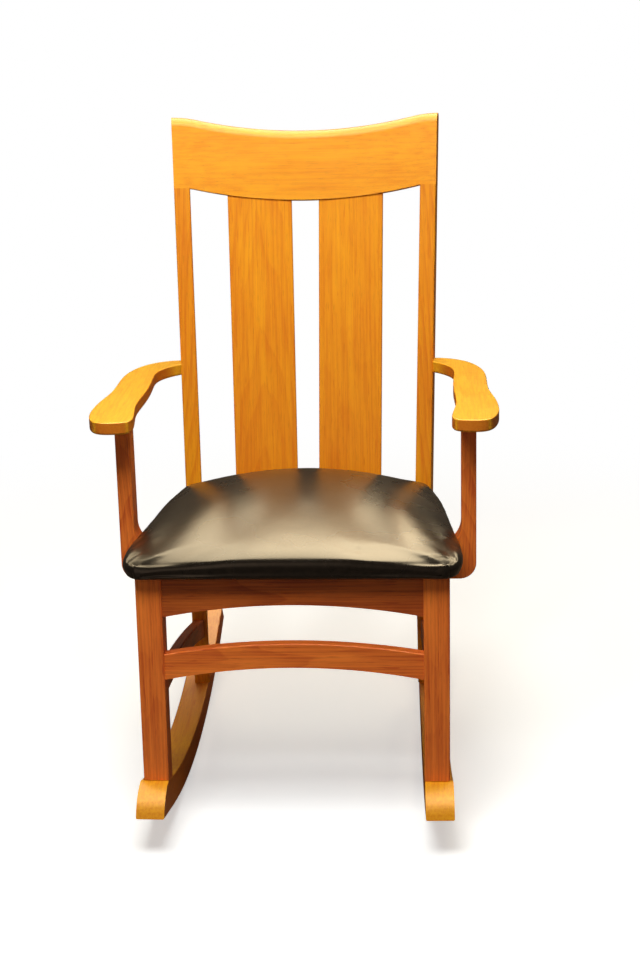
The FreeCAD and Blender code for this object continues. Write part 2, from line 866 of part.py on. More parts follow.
def make_support():
    """The crook that carries the right arm, with a foot against the side rail."""
    outer = S.support_spread / 2
    inner = outer - S.support_width
    crook_x = inner - S.support_crook
    foot_top = -S.seat_gap
    foot_bottom = foot_top - S.support_foot_height
    top = S.arm_height - S.seat_height
    rail_x = leg_inner + S.leg_width / 4
    corners = [
        (outer, top),
        (outer, foot_bottom + S.support_corner, S.support_corner * QUARTER_RISE_SHARE),
        (outer - S.support_corner, foot_bottom),
        (rail_x, foot_bottom),
        (rail_x, foot_top),
        (crook_x, foot_top, -S.support_crook * QUARTER_RISE_SHARE),
        (inner, foot_top + S.support_crook),
        (inner, top),
    ]
    support = pad("support_blank", "XZ_Plane", corners, S.support_depth, reversed_way=True)
    reach = S.edge_round.number
    round_edges(support, S.edge_round,
                lambda edge: abs(span(edge).y) < reach and edge.CenterOfMass.x > rail_x.number + reach
                and edge.CenterOfMass.z < top.number - reach)
    support.Placement = LEVEL * at(0, support_front, S.seat_height)
    return support


def make_block(label, corner_x, corner_y, way):
    """A triangular block in a corner of the seat frame. The way is 1 to the back."""
    corners = [
        (corner_x, corner_y),
        (corner_x - S.block_size, corner_y),
        (corner_x, corner_y + S.block_size * way),
    ]
    block = pad(label, "XY_Plane", corners, S.block_height)
    block.Placement = SEAT * at(0, 0, -S.block_height)
    return block


def seat_loft(label, inset):
    """The seat's whole form, smaller all round by the inset."""
    wires = []
    for along, out, lift, shoulder, crown in SEAT_SECTION_SHARES:
        y = seat_front + seat_depth * along + inset * (1 - 2 * along)
        half = seat_width / 2 * out - inset
        low = S.crown_height * lift + inset
        high = S.crown_height * shoulder - inset
        top = S.crown_height * crown - inset
        tuck = half - (high - low) * SEAT_TUCK_SHARE
        turn_in = half - (high - low) * SEAT_SHOULDER_SHARE

        def spot(x, z):
            return Vector(x.number, y.number, z.number)

        wires.append(Part.Wire([
            Part.makeLine(spot(-tuck, low), spot(tuck, low)),
            Part.Arc(spot(tuck, low), spot(half, (low + high) / 2), spot(turn_in, high)).toShape(),
            Part.Arc(spot(turn_in, high), spot(NOTHING, top), spot(-turn_in, high)).toShape(),
            Part.Arc(spot(-turn_in, high), spot(-half, (low + high) / 2), spot(-tuck, low)).toShape(),
        ]))
    loft = shape(label, Part.makeLoft(wires, True, False))
    loft.Placement = SEAT
    return loft


def seat_panel(label, inset, thickness, lift):
    """A flat panel inside the seat's underside, in from its edge by the inset."""
    margin = side_band * SEAT_TUCK_SHARE + inset
    front_half = seat_width / 2 * SEAT_SECTION_SHARES[2][1] - margin
    rear_half = seat_width / 2 * SEAT_SECTION_SHARES[-2][1] - margin
    front_y = seat_front + margin
    rear_y = seat_front + seat_depth - margin
    corners = [
        (-front_half, front_y),
        (front_half, front_y),
        (rear_half, rear_y),
        (-rear_half, rear_y),
    ]
    panel = pad(label, "XY_Plane", corners, thickness)
    panel.Placement = SEAT * at(0, 0, lift)
    return panel


rocker_blank = make_rocker()
leg_blank = make_leg()
post_blank = make_post()
front_rail_blank = make_front_rail()
front_stretcher_blank = make_front_stretcher()
crest_blank = make_crest()
slat_blank = make_slat()
side_stretcher_blank = make_side_stretcher()
side_rail_blank = make_side_rail()
rear_rail_blank = make_rear_rail()
arm_blank = make_arm()
support_blank = make_support()
left_leg_blank = mirrored("left_leg_blank", leg_blank)
left_post_blank = mirrored("left_post_blank", post_blank)
left_side_rail_blank = mirrored("left_side_rail_blank", side_rail_blank)


# Large tools that trim pieces to a common surface

half_reach = S.rocker_radius / 2
floor = box("floor_cut", S.rocker_radius, S.rocker_radius, S.overrun,
            at(-half_reach, -half_reach, -S.overrun))
above_seat = box("above_seat", S.rocker_radius, S.rocker_radius, S.overrun * 2,
                 SEAT * at(-half_reach, -half_reach, 0))
below_seat = box("below_seat", S.rocker_radius, S.rocker_radius, S.overrun,
                 SEAT * at(-half_reach, -half_reach, -S.overrun))
below_leather = box("below_leather", S.rocker_radius, S.rocker_radius, S.overrun,
                    SEAT * at(-half_reach, -half_reach, S.leather_thickness - S.overrun))
above_crest = box("above_crest", S.rocker_radius, S.overrun * 2, S.crest_height,
                  CREST * at(-half_reach, -S.overrun, 0))
beyond_post = box("beyond_post", S.overrun, S.overrun * 2, S.crest_height * 2,
                  POST_TOP * at(S.post_width, -S.overrun, -S.overrun))
left_beyond_post = mirrored("left_beyond_post", beyond_post)
above_arm = box("above_arm", half_reach, S.rocker_radius, S.overrun,
                ARM * at(-half_reach / 2, -half_reach, -S.arm_thickness))


def make_rocker_trim():
    """Everything below the rockers' top, wide enough for any leg on it."""
    reach = S.leg_reach + S.overrun
    rear = (reach, rocker_top(reach))
    front = (-reach, rocker_top(-reach))
    corners = [
        (-reach, -S.overrun),
        (reach, -S.overrun),
        (*rear, arc_rise(S.rocker_radius - S.rocker_height, front, rear)),
        front,
    ]
    trim = pad("below_rocker_top", "YZ_Plane", corners, S.rocker_width + S.overrun * 2)
    trim.Placement = SIDE * at(-S.overrun, 0, 0)
    return trim


below_rocker_top = make_rocker_trim()


# Joints

upper_band = -S.rail_height * (UPPER_TENON_SHARE + TENON_HEIGHT_SHARE / 2)
lower_band = -S.rail_height * (LOWER_TENON_SHARE + TENON_HEIGHT_SHARE / 2)
band_height = S.rail_height * TENON_HEIGHT_SHARE
post_tenon_length = S.tenon_length * 2 / 3

front_rail_tenon, front_rail_mortise = tenon(
    "front_rail",
    FRONT * at(leg_inner, S.front_setback + S.rail_thickness / 2, lower_band) * TO_RIGHT,
    band_height, S.tenon_thickness, S.tenon_length)
rear_rail_face = S.post_gap / 2 + (rear_rail_y - S.post_front) * sine(S.post_turn_angle)
rear_rail_tenon, rear_rail_mortise = tenon(
    "rear_rail", SEAT * at(rear_rail_face, rear_rail_y, lower_band) * TO_RIGHT,
    band_height, S.tenon_thickness, S.tenon_length)
rail_front_tenon, rail_front_mortise = tenon(
    "side_rail_front", RAIL * at(0, S.leg_depth / 2, upper_band) * TO_FRONT,
    band_height, S.tenon_thickness, S.tenon_length)
rail_rear_tenon, rail_rear_mortise = tenon(
    "side_rail_rear", RAIL * at(0, rail_length - S.post_depth / 2, upper_band) * TO_BACK,
    band_height, S.tenon_thickness, post_tenon_length)
stretcher_tenon, stretcher_mortise = tenon(
    "front_stretcher",
    FRONT * at(leg_inner, S.front_setback + S.stretcher_thickness / 2,
               -(S.stretcher_drop + S.stretcher_height / 2)) * TO_RIGHT,
    S.stretcher_height * STRETCHER_TENON_SHARE, S.tenon_thickness, S.tenon_length)
side_front_tenon, side_front_mortise = tenon(
    "side_stretcher_front",
    STRETCHER * at(S.side_stretcher_thickness / 2, S.leg_depth / 2, 0) * TO_FRONT,
    S.side_stretcher_height * STRETCHER_TENON_SHARE, S.tenon_thickness, S.tenon_length)
side_rear_tenon, side_rear_mortise = tenon(
    "side_stretcher_rear",
    STRETCHER * at(S.side_stretcher_thickness / 2, stretcher_length - S.post_foot_depth / 2, 0)
    * TO_BACK,
    S.side_stretcher_height * STRETCHER_TENON_SHARE, S.tenon_thickness, post_tenon_length)
post_tenon, post_mortise = tenon(
    "post", POST_TOP * at(S.post_width / 2, S.post_top_depth / 2, 0),
    S.post_tenon_width, S.tenon_thickness, S.post_tenon_length)

slat_front = (S.slat_thickness - S.slat_tenon_thickness) / 2
slat_core = slat_board("slat_core", S.slat_shoulder, NOTHING, S.slat_tenon_thickness)
slat_core.Placement = SLAT * at(0, slat_front, 0)
slat_mortise = slat_board("slat_mortise", S.slat_shoulder - S.glue_gap, S.mortise_room,
                          S.slat_tenon_thickness + S.glue_gap * 2)
slat_mortise.Placement = SLAT * at(0, slat_front - S.glue_gap, 0)

front_leg_dowel, front_leg_dowel_hole = dowel(
    "front_leg", on_rocker(FRONT * at(leg_inner + S.leg_foot_width / 2, S.leg_depth / 2, 0)),
    S.dowel_length)
back_leg_dowel, back_leg_dowel_hole = dowel(
    "back_leg", on_rocker(POST * at(S.post_width / 2, S.post_foot_depth / 2, 0)
                          * turn(X_AXIS, S.post_splay_angle)), S.dowel_length)
support_x = (S.support_spread - S.support_width) / 2
arm_dowel, arm_dowel_hole = dowel(
    "arm", ARM * at(support_x - arm_x, support_middle_y - S.arm_rear, -S.arm_thickness),
    S.arm_dowel_length)


# Screws

arm_screws = []
arm_screw_holes = []
for number, side in ((1, -1), (2, 1)):
    along = arm_post_y + S.post_depth / 2 + S.arm_screw_spacing / 2 * side
    frame = POST * at(0, along, arm_rise - S.arm_thickness / 2) * TO_RIGHT
    driven, hole = screw(f"arm_{number}", frame, S.arm_screw_length)
    arm_screws.append(driven)
    arm_screw_holes.append(hole)

support_screws = []
support_screw_holes = []
for number, side in ((1, -1), (2, 1)):
    up = S.crook_screw_spacing / 2 * side - S.seat_gap - S.support_foot_height / 2
    frame = RAIL * at(-S.rail_thickness / 2, support_middle_y - leg_middle_y, up) * TO_RIGHT
    driven, hole = screw(f"support_{number}", frame, S.arm_screw_length)
    support_screws.append(driven)
    support_screw_holes.append(hole)

front_seat_screw, front_seat_screw_hole = screw(
    "front_seat", SEAT * at(leg_inner - S.screw_inset, S.leg_depth - S.leg_reach + S.screw_inset,
                            -S.block_height), S.screw_length)
rear_seat_screw, rear_seat_screw_hole = screw(
    "rear_seat", SEAT * at((S.post_gap - S.screw_inset) / 2, S.post_front - S.screw_inset * 3,
                           -S.block_height), S.screw_length)
seat_holes = [front_seat_screw_hole, rear_seat_screw_hole,
              mirrored("left_front_seat_screw_hole", front_seat_screw_hole),
              mirrored("left_rear_seat_screw_hole", rear_seat_screw_hole)]


# Finished pieces of the frame

def both(label, right_piece):
    """Hand in a right-hand piece and its left-hand twin."""
    keep(right_piece)
    keep(mirrored(f"left_{label}", right_piece))


both("rocker", cut("right_rocker", rocker_blank,
                   [floor, front_leg_dowel_hole, back_leg_dowel_hole]))
both("front_leg", cut("right_front_leg", leg_blank,
                      [above_seat, below_rocker_top, front_rail_mortise, rail_front_mortise,
                       stretcher_mortise, side_front_mortise, front_leg_dowel_hole]))
post_body = cut("post_body", post_blank,
                [above_crest, below_rocker_top, rear_rail_mortise, rail_rear_mortise,
                 side_rear_mortise, back_leg_dowel_hole, *arm_screw_holes])
both("back_post", joined("right_back_post", [post_body, post_tenon]))

crest = keep(cut("crest_rail", crest_blank,
                 [beyond_post, left_beyond_post, post_mortise, slat_mortise,
                  mirrored("left_post_mortise", post_mortise),
                  mirrored("left_slat_mortise", slat_mortise)]))
slat_body = cut("slat_body", slat_blank, [crest_blank, rear_rail_blank])
both("back_slat", joined("right_back_slat", [slat_body, slat_core]))

front_rail_body = cut("front_rail_body", front_rail_blank, [above_seat])
keep(joined("front_rail", [front_rail_body, front_rail_tenon,
                           mirrored("left_front_rail_tenon", front_rail_tenon)]))
keep(joined("front_stretcher", [front_stretcher_blank, stretcher_tenon,
                                mirrored("left_front_stretcher_tenon", stretcher_tenon)]))
rear_rail_body = cut("rear_rail_body", rear_rail_blank,
                     [post_blank, left_post_blank, slat_mortise,
                      mirrored("left_slat_foot_mortise", slat_mortise)])
keep(joined("rear_rail", [rear_rail_body, rear_rail_tenon,
                          mirrored("left_rear_rail_tenon", rear_rail_tenon)]))
side_rail_body = cut("side_rail_body", side_rail_blank,
                     [leg_blank, post_blank, *support_screw_holes])
both("side_rail", joined("right_side_rail", [side_rail_body, rail_front_tenon, rail_rear_tenon]))
side_stretcher_body = cut("side_stretcher_body", side_stretcher_blank, [leg_blank, post_blank])
both("side_stretcher", joined("right_side_stretcher",
                              [side_stretcher_body, side_front_tenon, side_rear_tenon]))

both("arm", cut("right_arm", arm_blank, [post_blank, arm_dowel_hole, *arm_screw_holes]))
both("arm_support", cut("right_arm_support", support_blank,
                        [above_arm, side_rail_blank, arm_dowel_hole, *support_screw_holes]))

front_block_blank = make_block("front_block_blank", leg_middle_x, leg_middle_y, 1)
rear_block_blank = make_block("rear_block_blank", post_middle_x, post_middle_y, -1)
both("front_corner_block", cut("right_front_corner_block", front_block_blank,
                               [front_rail_blank, side_rail_blank, leg_blank,
                                front_seat_screw_hole]))
both("rear_corner_block", cut("right_rear_corner_block", rear_block_blank,
                              [rear_rail_blank, side_rail_blank, post_blank,
                               rear_seat_screw_hole]))


# Finished pieces of the seat

seat_outside = cut("seat_outside", seat_loft("seat_outer_form", NOTHING), [below_seat])
seat_inside = cut("seat_inside", seat_loft("seat_inner_form", S.leather_thickness),
                  [below_leather])
board_blank = seat_panel("board_blank", S.board_inset, S.board_thickness, S.leather_thickness)
opening = seat_panel("cloth_opening", S.leather_margin, S.leather_thickness, NOTHING)
cloth_blank = seat_panel("cloth_blank", S.leather_margin + S.cloth_gap, S.leather_thickness,
                         NOTHING)
keep(cut("seat_board", board_blank, seat_holes))
keep(cut("seat_foam", seat_inside, [board_blank]))
keep(cut("seat_cover", seat_outside, [seat_inside, opening, *seat_holes]))
keep(cut("dust_cover", cloth_blank, seat_holes))


# Dowels and screws, grouped by kind

def all_round(label, pieces):
    """Keep the pieces of the right side and their left twins under one name."""
    twins = [mirrored(f"{piece.Name}_twin", piece) for piece in pieces]
    keep(group(label, pieces + twins))


all_round("rocker_dowels", [front_leg_dowel, back_leg_dowel])
all_round("arm_dowels", [arm_dowel])
all_round("arm_screws", arm_screws)
all_round("support_screws", support_screws)
all_round("seat_screws", [front_seat_screw, rear_seat_screw])

doc.recompute()

for item in doc.Objects:
    if "Invalid" in item.State or "Error" in item.State:
        raise RuntimeError(f"{item.Label} did not build")
for label, item in NODES.items():
    if item.Shape.isNull() or not item.Shape.isValid():
        raise RuntimeError(f"{label} has no sound shape")

os.makedirs("parts", exist_ok=True)
for label, item in NODES.items():
    item.Shape.exportStep(f"parts/{label}.step")
    print(f"{label}: {len(item.Shape.Solids)} solid, {item.Shape.Volume / 1000:.1f} cm3")
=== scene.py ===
# %% [markdown]
# # A hickory rocking chair
# The chair's boards, joints, dowels and screws come from the construction model, packed as a fixed
# frame. This script gives every board its own wood figure, makes the black leather seat and the
# dust cloth under it as new soft pieces, and sets the light and the camera.

# %% Load the frame
import math

import bmesh
import bpy
from mathutils import Matrix, Vector, noise


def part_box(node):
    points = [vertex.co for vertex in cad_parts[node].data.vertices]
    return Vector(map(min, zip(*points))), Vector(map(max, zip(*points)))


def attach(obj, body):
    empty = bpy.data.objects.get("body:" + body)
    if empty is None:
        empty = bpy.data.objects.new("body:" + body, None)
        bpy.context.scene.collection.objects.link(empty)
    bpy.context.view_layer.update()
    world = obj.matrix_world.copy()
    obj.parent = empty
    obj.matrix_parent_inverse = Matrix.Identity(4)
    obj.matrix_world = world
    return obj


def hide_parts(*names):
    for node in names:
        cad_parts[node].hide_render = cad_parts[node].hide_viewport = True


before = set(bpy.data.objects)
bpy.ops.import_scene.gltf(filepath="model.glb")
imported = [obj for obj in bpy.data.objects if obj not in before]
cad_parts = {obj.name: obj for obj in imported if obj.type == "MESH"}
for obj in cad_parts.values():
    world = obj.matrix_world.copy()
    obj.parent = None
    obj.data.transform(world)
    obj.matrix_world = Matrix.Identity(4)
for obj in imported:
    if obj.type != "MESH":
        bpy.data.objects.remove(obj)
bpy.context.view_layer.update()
MM = 0.001

# %% [markdown]
# ## The camera
# The picture was taken from standing height, a little to the right of the chair's middle. Its
# place and angles were worked out with the chair level. The chair stands leaning back on its
# rockers, so the camera leans back with it, about the point that the rockers' curve turns about.

# %% Place the camera
REST_LEAN = math.radians(4.8)
ROCKER_RADIUS = 1000 * MM
FOOTPRINT_MIDDLE = 0.327 * MM
WEAR_FLAT = 0.3 * MM
SOLVED_PLACE = Vector((0.2237, -2.9611, 1.3764))
SOLVED_YAW, SOLVED_PITCH, SOLVED_ROLL = -0.0635, 0.2776, -0.0239
FOCAL_PIXELS, PICTURE_HEIGHT = 1799.46, 961

lean_back = (
    Matrix.Translation((0, -FOOTPRINT_MIDDLE, -WEAR_FLAT))
    @ Matrix.Translation((0, 0, ROCKER_RADIUS))
    @ Matrix.Rotation(-REST_LEAN, 4, "X")
    @ Matrix.Translation((0, 0, -ROCKER_RADIUS))
)
ahead = Vector((
    math.sin(SOLVED_YAW) * math.cos(SOLVED_PITCH),
    math.cos(SOLVED_YAW) * math.cos(SOLVED_PITCH),
    -math.sin(SOLVED_PITCH),
))
level_right = Vector((math.cos(SOLVED_YAW), -math.sin(SOLVED_YAW), 0))
level_up = level_right.cross(ahead)
camera_right = math.cos(SOLVED_ROLL) * level_right + math.sin(SOLVED_ROLL) * level_up
camera_up = -math.sin(SOLVED_ROLL) * level_right + math.cos(SOLVED_ROLL) * level_up
camera_turn = Matrix((camera_right, camera_up, -ahead)).transposed().to_4x4()

lens = bpy.data.cameras.new("photo camera")
lens.sensor_width = 36
lens.lens = FOCAL_PIXELS / PICTURE_HEIGHT * lens.sensor_width
lens.clip_end = 200
camera = bpy.data.objects.new("photo_camera", lens)
bpy.context.scene.collection.objects.link(camera)
camera.matrix_world = lean_back @ Matrix.Translation(SOLVED_PLACE) @ camera_turn
bpy.context.scene.camera = camera
print("camera at", tuple(round(v, 3) for v in camera.matrix_world.translation),
      "lens", round(lens.lens, 2))

# %% [markdown]
# ## Helpers for shader nodes
# A material is a small network. These helpers add a node, set its plain values and join its
# inputs, so that each material below reads from top to bottom.


# %% Node helpers
def add_node(tree, kind, inputs=None, **settings):
    """A node of that kind. Inputs take a value, or another node's output to join."""
    node = tree.nodes.new(kind)
    for name, value in settings.items():
        setattr(node, name, value)
    for name, value in (inputs or {}).items():
        socket = node.inputs[name]
        if isinstance(value, bpy.types.NodeSocket):
            tree.links.new(value, socket)
        else:
            socket.default_value = value
    return node


def sums(tree, operation, *values):
    """One Math node's result. The values are numbers or outputs."""
    return add_node(tree, "ShaderNodeMath", dict(enumerate(values)), operation=operation).outputs[0]


def blended(tree, share, low, high, blend_type="MIX"):
    """Two colours mixed by a share."""
    mix = add_node(tree, "ShaderNodeMix", {0: share, 6: low, 7: high},
                   data_type="RGBA", blend_type=blend_type)
    return mix.outputs[2]


def tinted(tree, colour, tint):
    """A colour multiplied by another."""
    return blended(tree, 1.0, colour, tint, "MULTIPLY")


def spread(tree, value, low, high, new_low=0.0, new_high=1.0):
    """A value moved smoothly from one range to another and held inside it."""
    return add_node(tree, "ShaderNodeMapRange", {
        "Value": value, "From Min": low, "From Max": high, "To Min": new_low, "To Max": new_high,
    }, interpolation_type="SMOOTHSTEP").outputs["Result"]


def noise_value(tree, vector, scale, detail=2.0, roughness=0.5):
    """A noise texture's value."""
    return add_node(tree, "ShaderNodeTexNoise", {
        "Vector": vector, "Scale": scale, "Detail": detail, "Roughness": roughness,
    }).outputs[0]


def stretched(tree, vector, scale):
    """A vector scaled on each axis."""
    return add_node(tree, "ShaderNodeMapping", {"Vector": vector, "Scale": scale}).outputs[0]


def object_space(tree):
    """The object's own coordinates."""
    return add_node(tree, "ShaderNodeTexCoord").outputs["Object"]


def new_group(name, inputs, outputs):
    """An empty shader group with named sockets. Returns the tree and its two end nodes."""
    tree = bpy.data.node_groups.new(name, "ShaderNodeTree")
    kinds = {"color": "NodeSocketColor", "vector": "NodeSocketVector", "value": "NodeSocketFloat"}
    for label, kind, value in inputs:
        socket = tree.interface.new_socket(label, in_out="INPUT", socket_type=kinds[kind])
        if value is not None:
            socket.default_value = value
    for label, kind in outputs:
        tree.interface.new_socket(label, in_out="OUTPUT", socket_type=kinds[kind])
    return tree, tree.nodes.new("NodeGroupInput"), tree.nodes.new("NodeGroupOutput")


def new_material(name):
    """A new material whose network holds one shader. Returns the material, network and shader."""
    material = bpy.data.materials.new(name)
    material.use_nodes = True
    tree = material.node_tree
    tree.nodes.clear()
    shader = tree.nodes.new("ShaderNodeBsdfPrincipled")
    end = tree.nodes.new("ShaderNodeOutputMaterial")
    tree.links.new(shader.outputs[0], end.inputs["Surface"])
    return material, tree, shader


# %% [markdown]
# ## The wood's figure
# Hickory has a plain, strong figure. A board taken flat from the log cuts through the yearly rings,
# so they show as long arches on its face and as straight lines on its edges. Fine dark pores run
# along the grain, and the colour drifts from honey to amber along a board. End grain takes the
# finish darker and redder than the faces. The side faces get the same tint as painted shade, and
# some boards get painted shade towards their start, where they turn darker and redder.
# The group works in the board's own coordinates: X along the grain, Y across the face and Z through
# the thickness. The rings are circles about the log's middle, which lies under the face and slopes
# a little.

# %% The figure group
RING_WANDER, RING_UNEVENNESS = 0.035, 1.6
STREAK_SHARE, DRIFT_SHARE, FLECK_SHARE, PORE_SHARE = 0.5, 0.38, 0.5, 0.28
PORE_TINT = (0.42, 0.36, 0.3, 1)
# Painted shade on side faces that face away from the light, shared with end grain, which really
# takes the finish darker and redder.
SIDE_SHADE_AND_END_GRAIN_TINT = (0.66, 0.36, 0.75, 1)
# Painted shade: boards turn darker and redder towards their start, where the slats' lower ends and
# the rockers' rear ends lie in shade by the seat.
END_SHADE_TINT = (0.97, 0.74, 1.3, 1)
FACING_FROM, FACING_TO = 0.60, 0.90
END_SHADE_FROM, END_SHADE_TO = 0.25, -0.30
LEAST_ROUGHNESS, ROUGHNESS_CHANGE = 0.28, 0.14
PORE_RELIEF, RING_RELIEF, STREAK_RELIEF = -0.6, -0.35, -0.4
figure, figure_in, figure_out = new_group(
    "hickory figure",
    [("Vector", "vector", None), ("Light", "color", (0.86, 0.36, 0.06, 1)),
     ("Dark", "color", (0.62, 0.2, 0.03, 1)), ("Ring Width", "value", 0.006),
     ("Log Depth", "value", 0.09), ("Log Slope", "value", 0.05), ("Ring Strength", "value", 0.5),
     ("Facing", "vector", None), ("Side Shade Strength", "value", 0.2),
     ("End Strength", "value", 0.2), ("End Shade Strength", "value", 0.0)],
    [("Color", "color"), ("Roughness", "value"), ("Height", "value")],
)
board = figure_in.outputs["Vector"]
wander = add_node(figure, "ShaderNodeTexNoise", {
    "Vector": stretched(figure, board, (2.2, 9, 9)), "Scale": 1.0, "Detail": 2.0})
shift = add_node(figure, "ShaderNodeVectorMath", {0: wander.outputs["Color"], 1: (0.5, 0.5, 0.5)},
                 operation="SUBTRACT")
moved = add_node(figure, "ShaderNodeVectorMath", {
    0: shift.outputs[0], 1: (0.0, RING_WANDER, RING_WANDER), 2: board}, operation="MULTIPLY_ADD")
part = add_node(figure, "ShaderNodeSeparateXYZ", {0: moved.outputs[0]})
deep = sums(figure, "ADD", part.outputs["Z"], sums(
    figure, "MULTIPLY_ADD", part.outputs["X"], figure_in.outputs["Log Slope"],
    figure_in.outputs["Log Depth"]))
from_middle = sums(figure, "SQRT", sums(
    figure, "ADD", sums(figure, "MULTIPLY", part.outputs["Y"], part.outputs["Y"]),
    sums(figure, "MULTIPLY", deep, deep)))
ring_count = sums(figure, "DIVIDE", from_middle, figure_in.outputs["Ring Width"])
uneven = sums(figure, "MULTIPLY_ADD", noise_value(
    figure, stretched(figure, board, (1.5, 30, 30)), 1.0), RING_UNEVENNESS, ring_count)
saw = sums(figure, "FRACT", uneven)
late_wood = sums(figure, "MULTIPLY", spread(figure, saw, 0.35, 0.92),
                 spread(figure, saw, 1.0, 0.93))
streaks = noise_value(figure, stretched(figure, board, (5, 260, 260)), 1.0, 3.0, 0.6)
fine = noise_value(figure, stretched(figure, board, (45, 1500, 1500)), 1.0, 1.0)
pores = spread(figure, fine, 0.60, 0.72)
flecks = spread(figure, noise_value(
    figure, stretched(figure, board, (22, 260, 260)), 1.0, 2.0), 0.62, 0.74)
drift = noise_value(figure, stretched(figure, board, (4, 18, 18)), 1.0, 3.0, 0.55)
darker = sums(figure, "MULTIPLY", late_wood, figure_in.outputs["Ring Strength"])
darker = sums(figure, "MULTIPLY_ADD", spread(figure, streaks, 0.38, 0.66), STREAK_SHARE, darker)
darker = sums(figure, "MULTIPLY_ADD", spread(figure, drift, 0.3, 0.7), DRIFT_SHARE, darker)
darker = sums(figure, "MULTIPLY_ADD", flecks, FLECK_SHARE, darker)
wood = blended(figure, sums(figure, "MINIMUM", darker, 1.0),
               figure_in.outputs["Light"], figure_in.outputs["Dark"])
wood = blended(figure, sums(figure, "MULTIPLY", pores, PORE_SHARE), wood,
               tinted(figure, figure_in.outputs["Dark"], PORE_TINT))
facing_parts = add_node(figure, "ShaderNodeSeparateXYZ", {0: figure_in.outputs["Facing"]})
# Painted shade on the side faces, and darker end grain, in one tint.
painted_side_shade = spread(figure, sums(figure, "ABSOLUTE", facing_parts.outputs["Y"]), FACING_FROM, FACING_TO)
on_end = spread(figure, sums(figure, "ABSOLUTE", facing_parts.outputs["X"]), FACING_FROM, FACING_TO)
side_shade_and_end_grain = sums(figure, "MAXIMUM",
            sums(figure, "MULTIPLY", painted_side_shade, figure_in.outputs["Side Shade Strength"]),
            sums(figure, "MULTIPLY", on_end, figure_in.outputs["End Strength"]))
wood = blended(figure, side_shade_and_end_grain, wood, tinted(figure, wood, SIDE_SHADE_AND_END_GRAIN_TINT))
board_parts = add_node(figure, "ShaderNodeSeparateXYZ", {0: board})
# Painted shade towards the board's start.
painted_end_shade = spread(figure, board_parts.outputs["X"], END_SHADE_FROM, END_SHADE_TO)
wood = blended(figure, sums(figure, "MULTIPLY", painted_end_shade, figure_in.outputs["End Shade Strength"]),
               wood, tinted(figure, wood, END_SHADE_TINT))
roughness = sums(figure, "MULTIPLY_ADD", noise_value(figure, board, 28.0, 3.0),
                 ROUGHNESS_CHANGE, LEAST_ROUGHNESS)
height = sums(figure, "MULTIPLY_ADD", pores, PORE_RELIEF, sums(
    figure, "MULTIPLY_ADD", late_wood, RING_RELIEF,
    sums(figure, "MULTIPLY", streaks, STREAK_RELIEF)))
figure.links.new(wood, figure_out.inputs["Color"])
figure.links.new(roughness, figure_out.inputs["Roughness"])
figure.links.new(height, figure_out.inputs["Height"])
print("figure group has", len(figure.nodes), "nodes")

# %% [markdown]
# ## One material for each board
# No two boards of a real chair match, so each gets its own cut from the log: the way its grain
# runs, how deep the log's middle lies and how wide its rings are. A Mapping node turns the
# object's coordinates so that X runs along the board. The tones are partly painted light and shade:
# lighter on the arms, darker and redder on the legs and supports, darkest on the boards under the
# seat. The arms' and rockers' side faces get the darkest, reddest painted shade.

# %% Boards and their grain
HONEY = ((1.0, 0.43, 0.014, 1), (0.86, 0.28, 0.006, 1))
# A yellower tone for the arms, also lighter as painted light on their lit tops.
LIT_GOLD = ((1.0, 0.58, 0.020, 1), (0.90, 0.40, 0.008, 1))
OCHRE = ((1.0, 0.49, 0.018, 1), (0.86, 0.30, 0.008, 1))
AMBER = ((1.0, 0.42, 0.008, 1), (0.82, 0.24, 0.004, 1))
# A redder tone, also darker as painted shade, for the legs, arm supports, front stretcher and rear
# rail, which get less light.
SHADED_RUSSET = ((0.97, 0.26, 0.038, 1), (0.62, 0.105, 0.018, 1))
# Painted shade: a dark copy of the wood for the apron, the side rails and the side stretchers,
# which lie in shade under the seat.
SHADE_UMBER = ((0.62, 0.145, 0.022, 1), (0.34, 0.055, 0.010, 1))

# How strongly painted shade on the side faces, darker end grain and painted shade towards the start
# show on a board.
BOARD_LOOK = (0.2, 0.2, 0.0)
LOOKS = {"_arm": (1.0, 1.0, 0.0), "_slat": (0.2, 0.2, 0.7), "_rocker": (0.9, 0.0, 0.9)}
LACQUER = {"Specular IOR Level": 0.35, "Coat Weight": 0.22, "Coat Roughness": 0.33}


def middle_of(node):
    """The middle of a node's box."""
    low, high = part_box(node)
    return (low + high) / 2


def grain_mapping(tree, centre, along, face):
    """The board's own coordinates, X along the grain and Z out of the face, and the way that its
    surface faces in them."""
    along = Vector(along).normalized()
    face = Vector(face).normalized()
    across = face.cross(along).normalized()
    face = along.cross(across)
    turn = Matrix((along, across, face))
    space = add_node(tree, "ShaderNodeTexCoord")
    place = add_node(tree, "ShaderNodeMapping", {
        "Vector": space.outputs["Object"], "Location": -(turn @ Vector(centre)),
        "Rotation": turn.to_euler()})
    facing = add_node(tree, "ShaderNodeMapping", {
        "Vector": space.outputs["Normal"], "Rotation": turn.to_euler()}, vector_type="VECTOR")
    return place.outputs[0], facing.outputs[0]


